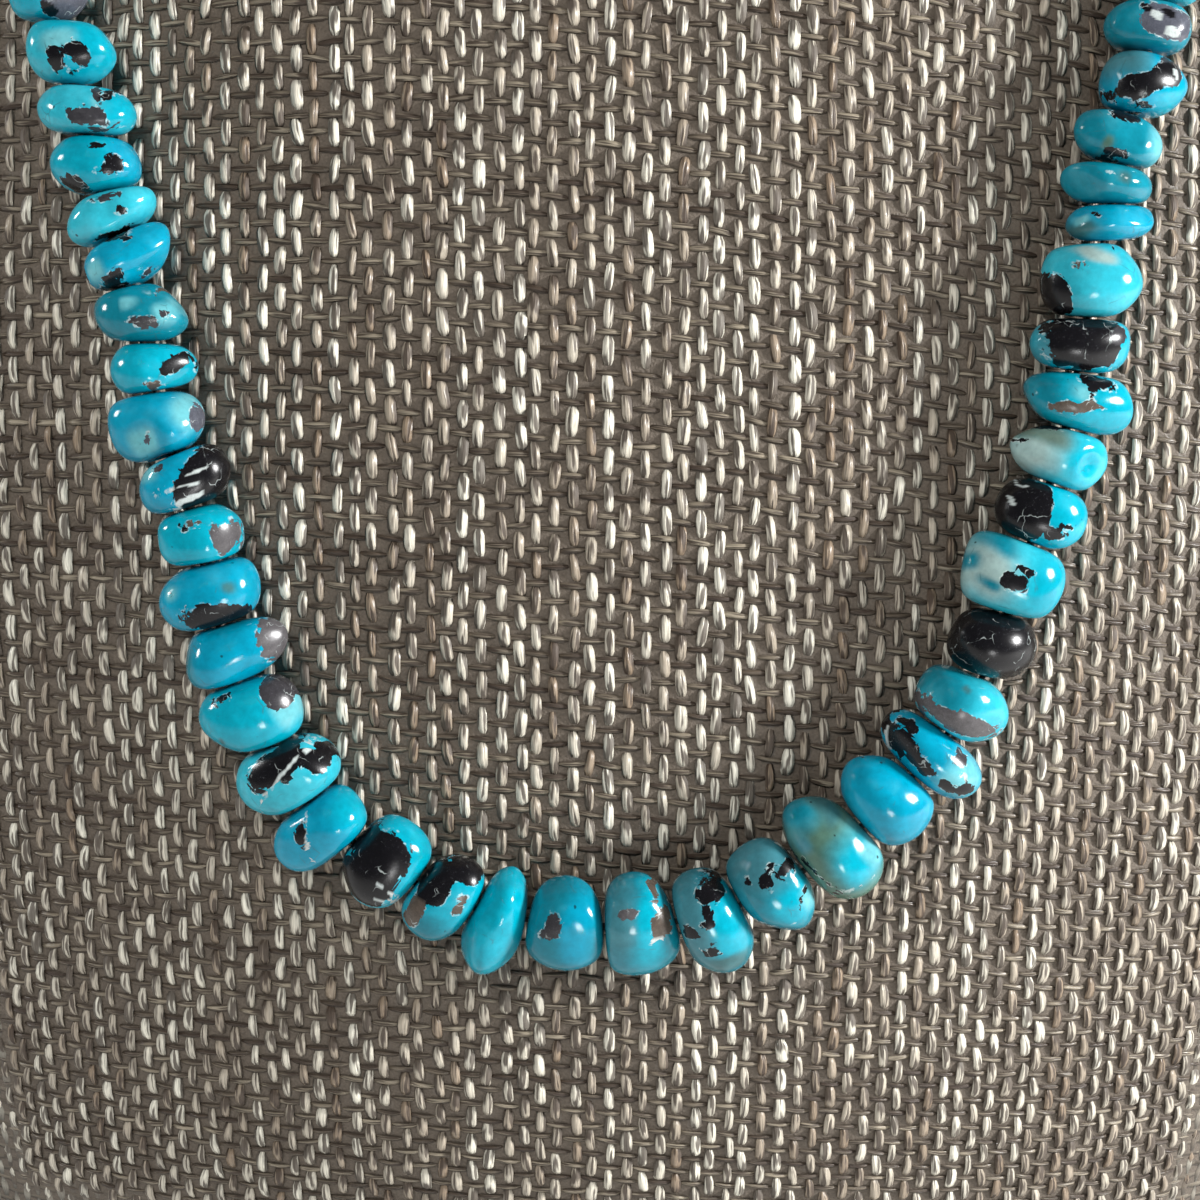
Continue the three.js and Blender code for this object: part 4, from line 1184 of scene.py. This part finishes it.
def bust_piece(columns=300, rows=150):
    """The cloth-covered bust: ellipses of the section table, rounded in at the top and base edges.

    The cloth's chart has one unit a thread. Across, it counts the way round from the front; up, it
    counts the front's own length, and drops towards the sides as the weft does, with a slight slope.
    """
    level = np.concatenate([
        BASE_EDGE * (1 - np.cos(np.linspace(0, math.pi / 2, 5))),
        np.linspace(BASE_EDGE, BUST_HEIGHT - TOP_EDGE, rows)[1:-1],
        BUST_HEIGHT - TOP_EDGE * (1 - np.sin(np.linspace(0, math.pi / 2, 10))),
    ])
    under = np.clip(1 - level / BASE_EDGE, 0, 1)
    over = np.clip((level - BUST_HEIGHT + TOP_EDGE) / TOP_EDGE, 0, 1)
    inset = BASE_EDGE * (1 - np.sqrt(1 - under**2)) + TOP_EDGE * (1 - np.sqrt(1 - over**2))
    angle = np.linspace(-math.pi, math.pi, columns + 1)
    half_width, half_depth, middle = (value[:, None] for value in bust_section(level))
    inset = inset[:, None]
    x = (half_width - inset) * np.sin(angle)
    y = middle - (half_depth - inset) * np.cos(angle)
    grid = np.stack([x, y, level[:, None] + 0 * angle], -1)

    around = lengths_along(grid)
    half_round = around[:, -1:] / 2
    around = around - half_round
    up = lengths_along(grid[:, columns // 2])[:, None]
    chart = np.stack([around, up + weft_drop(around, half_round)], -1) / CLOTH_PITCH

    points = grid[:, :-1].reshape(-1, 3)
    floats = field_share(chart[:, :-1]).ravel()
    quads = wrapped_faces(len(level), columns)
    row, column = np.divmod(quads[:, 0], columns)
    next_row, next_column = row + 1, column + 1
    corner_chart = np.stack([
        chart[row, column],
        chart[row, next_column],
        chart[next_row, next_column],
        chart[next_row, column],
    ], 1)
    if facing_out(points, quads) is not quads:
        quads, corner_chart = quads[:, ::-1], corner_chart[:, ::-1]
    base = np.arange(columns)[::-1]
    top = (len(level) - 1) * columns + np.arange(columns)
    caps = [points[ring][:, :2] / CLOTH_PITCH for ring in (base, top)]
    make_piece(
        "cloth_bust", points, [quads, base[None], top[None]], CLOTH_FINISH, ["neck_bust"],
        [("floats", floats)], np.concatenate([corner_chart.reshape(-1, 2)] + caps),
    )


# Tables of the chest, for finding the bust's point at any place of the chart: at each level, the
# half way round, and the angle at even ways round from the front.
CHEST_TOP = 200
CHEST_ANGLES = 361
CHEST_REACH = 90.0
CHEST_STEP = 2.0
LEVEL_ROUNDS = 6
chest_levels = np.arange(CHEST_TOP + 1.0)
chest_angles = np.linspace(-math.pi, math.pi, CHEST_ANGLES)
chest_grid = bust_point(chest_angles[None], chest_levels[:, None])
chest_around = lengths_along(chest_grid)
chest_half_round = chest_around[:, -1] / 2
chest_up = lengths_along(chest_grid[:, CHEST_ANGLES // 2])
chest_ways = np.arange(-CHEST_REACH, CHEST_REACH + 1, CHEST_STEP)
angle_at_way = np.stack([
    np.interp(chest_ways, lengths - lengths[-1] / 2, chest_angles) for lengths in chest_around
])


def cloth_point(chart):
    """The point of the chest at a place of the cloth's chart.

    The weft's drop needs the level and the level needs the drop, so a few rounds settle both. The
    angle is then a mean of the table's four values around the level and the way round.
    """
    around, up = chart[..., 0] * CLOTH_PITCH, chart[..., 1] * CLOTH_PITCH
    level = np.interp(up, chest_up, chest_levels)
    for _ in range(LEVEL_ROUNDS):
        half_round = np.interp(level, chest_levels, chest_half_round)
        level = np.interp(up - weft_drop(around, half_round), chest_up, chest_levels)
    row = np.clip(level.astype(int), 0, len(chest_levels) - 2)
    place = (around - chest_ways[0]) / CHEST_STEP
    column = np.clip(place.astype(int), 0, len(chest_ways) - 2)
    up_share, side_share = level - row, place - column
    lower, upper = (
        angle_at_way[at, column] * (1 - side_share) + angle_at_way[at, column + 1] * side_share
        for at in (row, row + 1)
    )
    return bust_point(lower * (1 - up_share) + upper * up_share, level)


# A float's rings: a place along it from -1 to 1, and the share of its breadth there.
FLOAT_RINGS = np.array([
    # place, breadth
    (-0.93, 0.66), (-0.55, 0.96), (0, 1.0), (0.55, 0.96), (0.93, 0.66),
])
FLOAT_SIDES = 5

# Each set's floats: ranges of half breadth and half length in threads; then in millimetres half the
# thickness, how high the middle lies and how far the tips dive below it; then linear colours.
WARP_FLOAT = {
    "breadth": (0.23, 0.40), "length": (0.78, 0.88), "thick": 0.20, "lift": 0.33, "dive": 0.42,
    "light": (0.66, 0.63, 0.53), "dark": (0.22, 0.165, 0.115),
}
WEFT_FLOAT = {
    "breadth": (0.12, 0.20), "length": (0.80, 0.94), "thick": 0.13, "lift": 0.20, "dive": 0.30,
    "light": (0.27, 0.23, 0.17), "dark": (0.06, 0.043, 0.030),
}

# How floats stray sideways: a whole thread, in waves along it, one float, and one float's lean.
STRAY_THREAD = 0.055
STRAY_WAVE = 0.06
STRAY_WAVES = 0.21
STRAY_FLOAT = 0.03
STRAY_LEAN = 0.05

# The pace of the waves of breadth and tone along a thread, and the contrast of the tone.
VARIED_WAVES = 0.33
TONE_CONTRAST = 1.7

# How far the floats sink into the ground at the edge of their part of the chart.
EDGE_SINK = 0.6


def float_piece(name, form, turned, seed):
    """Closed spindles on the chest, one wherever a thread lies over the other set, all in one piece.

    A spindle's rings lie along its thread. Each is a circle's cosine across and its sine up, times
    the ring's breadth, and the spindle's height falls by the square of the way from its middle.
    turned is 0 for the upright warp and 1 for the level weft.
    """
    random = np.random.default_rng(seed)
    rows = np.arange(*FIELD_ROWS)
    columns = np.arange(-FIELD_HALF, FIELD_HALF)
    column, row = (grid.ravel() for grid in np.meshgrid(columns, rows, indexing="ij"))
    chosen = (column + row) % 2 == turned
    column, row = column[chosen], row[chosen]
    thread, beside = (row, column) if turned else (column, row)
    threads = 1 + thread.max() - thread.min()
    thread = thread - thread.min()
    count = len(thread)

    phase = random.uniform(0, 2 * math.pi, threads)[thread]
    wander = random.normal(0, STRAY_THREAD, threads)[thread]
    wander = wander + STRAY_WAVE * np.sin(STRAY_WAVES * beside + phase)
    wander = wander + random.normal(0, STRAY_FLOAT, count)
    wave = 0.5 + 0.5 * np.sin(VARIED_WAVES * beside + 2 * phase)

    def varied(by_thread, by_wave, by_float):
        """A mean of three shares: random by thread, waving along it, and random by float."""
        return (
            by_thread * random.uniform(0, 1, threads)[thread]
            + by_wave * wave
            + by_float * random.uniform(0, 1, count)
        )

    low, high = form["breadth"]
    breadth = low + (high - low) * varied(0.35, 0.35, 0.3)
    length = random.uniform(*form["length"], count)
    lean = random.normal(0, STRAY_LEAN, count)
    tone = np.clip(0.5 + (varied(0.45, 0.25, 0.3) - 0.5) * TONE_CONTRAST, 0, 1)

    along_way = np.array([[0.0, 1.0], [1.0, 0.0]])[turned]
    across_way = along_way[::-1]
    centre = np.stack([column, row], -1) + 0.5 + wander[:, None] * across_way
    sunk = (1 - field_share(centre)) * EDGE_SINK

    # Every ring has all its sides, and a tip's ring shrinks to a point that is kept once.
    spin = math.pi / 2 + np.arange(FLOAT_SIDES) * 2 * math.pi / FLOAT_SIDES
    place = np.concatenate([[-1], FLOAT_RINGS[:, 0], [1]])[:, None] + 0 * spin
    share = np.concatenate([[0], FLOAT_RINGS[:, 1], [0]])[:, None]
    kept = share + 0 * spin > 0
    kept[0, 0] = True
    kept[-1, 0] = True
    place, side, rise = place[kept], (share * np.cos(spin))[kept], (share * np.sin(spin))[kept]
    across = side * breadth[:, None] + lean[:, None] * place
    along = length[:, None] * place
    chart = centre[:, None] + along[..., None] * along_way + across[..., None] * across_way
    height = form["lift"] - form["dive"] * place**2 + form["thick"] * rise - sunk[:, None]
    feet = cloth_point(chart)
    points = (feet + outward(feet) * height[..., None]).reshape(-1, 3)

    each = len(place)
    body = 1 + wrapped_faces(len(FLOAT_RINGS), FLOAT_SIDES)
    corner = np.arange(FLOAT_SIDES)
    last_ring = each - 1 - FLOAT_SIDES
    first_tip = np.stack([0 * corner, 1 + np.roll(corner, -1), 1 + corner], -1)
    last_tip = np.stack([0 * corner + each - 1, last_ring + corner, last_ring + np.roll(corner, -1)], -1)
    starts = (np.arange(count) * each)[:, None, None]
    quads = (body + starts).reshape(-1, 4)
    tips = (np.vstack([first_tip, last_tip]) + starts).reshape(-1, 3)
    if facing_out(points, quads) is not quads:
        quads, tips = quads[:, ::-1], tips[:, ::-1]
    light, dark = np.array(form["light"]), np.array(form["dark"])
    tint = dark + (light - dark) * tone[:, None]
    fields = [
        ("tint", np.repeat(tint, each, 0)),
        ("across", np.tile((np.cos(spin) + 0 * kept)[kept], count)),
        ("along", np.tile(place, count)),
        ("grain", np.repeat(random.uniform(0, 1, count), each)),
    ]
    make_piece(name, points, [quads, tips], FIBRE_FINISH, (), fields)


float_piece("chest_warp_floats", WARP_FLOAT, 0, 11)
float_piece("chest_weft_floats", WEFT_FLOAT, 1, 12)
bust_piece()

# ---- the camera, lights and floor

VIEW_HEIGHT = 102.0
VIEW_TARGET = np.array([0, float(section_value(2, VIEW_HEIGHT)), VIEW_HEIGHT])
VIEW_DISTANCE = 236.0
VIEW_ELEVATION = math.radians(28)
LENS = 78.1
SENSOR_WIDTH = 36
CLIP_NEAR = 0.01
CLIP_FAR = 20
FLOOR_HALF = 1.5
WORLD_COLOUR = (0.9, 0.95, 1.0, 1)
WORLD_STRENGTH = 0.12

view_back = np.array([0, -math.cos(VIEW_ELEVATION), math.sin(VIEW_ELEVATION)])
view_right = np.array([1.0, 0, 0])
view_up = np.cross(view_back, view_right)


def aim(thing, position, target):
    """Places a camera or light in millimetres, facing a target."""
    thing.location = position * MM
    thing.rotation_mode = "QUATERNION"
    thing.rotation_quaternion = Vector((target - position) * MM).to_track_quat("-Z", "Y")


def add_camera():
    """The camera, in front of the chest and above it."""
    camera = bpy.data.objects.new("camera", bpy.data.cameras.new("camera"))
    camera.data.lens = LENS
    camera.data.sensor_width = SENSOR_WIDTH
    camera.data.clip_start = CLIP_NEAR
    camera.data.clip_end = CLIP_FAR
    bpy.context.scene.collection.objects.link(camera)
    aim(camera, VIEW_TARGET + VIEW_DISTANCE * view_back, VIEW_TARGET)
    bpy.context.scene.camera = camera


def add_light(name, direction, distance, size, power, mirrored):
    """A square soft light, in a direction given as right, up and towards the camera."""
    light = bpy.data.objects.new(name, bpy.data.lights.new(name, "AREA"))
    light.data.shape = "SQUARE"
    light.data.size = size * MM
    light.data.energy = power
    light.visible_glossy = mirrored
    bpy.context.scene.collection.objects.link(light)
    way = unit(np.array(direction) @ np.stack([view_right, view_up, view_back]))
    aim(light, VIEW_TARGET + distance * way, VIEW_TARGET)


def add_floor():
    """A plain pale floor."""
    half = FLOOR_HALF
    corners = [(-half, -half, 0), (half, -half, 0), (half, half, 0), (-half, half, 0)]
    mesh = bpy.data.meshes.new("floor")
    mesh.from_pydata(corners, [], [(0, 1, 2, 3)])
    floor = bpy.data.objects.new("floor", mesh)
    bpy.context.scene.collection.objects.link(floor)
    finish = Finish("floor")
    tone = finish.noise(finish.place(), 0.01)
    colour = finish.mix(tone, (0.62, 0.61, 0.59), (0.68, 0.67, 0.65))
    mesh.materials.append(finish.surface(Base_Color=colour, Roughness=0.8))


LIGHTS = [
    # name, (right, up, towards the camera), distance, size, power, mirrored in the stones
    ("window", (0.95, 0.14, 0.30), 500, 90, 4.8, True),
    ("back_left", (-0.8, 0.25, 0.0), 500, 80, 0.8, True),
    ("low_front", (0.25, -0.6, 0.8), 500, 60, 0.4, True),
    ("soft_front", (-0.25, 0.45, 1.0), 700, 300, 3.4, False),
]

add_camera()
for light in LIGHTS:
    add_light(*light)
add_floor()

world = bpy.data.worlds.new("studio")
world.use_nodes = True
sky = world.node_tree.nodes["Background"]
sky.inputs["Color"].default_value = WORLD_COLOUR
sky.inputs["Strength"].default_value = WORLD_STRENGTH
bpy.context.scene.world = world
bpy.context.scene.view_settings.view_transform = "Standard"
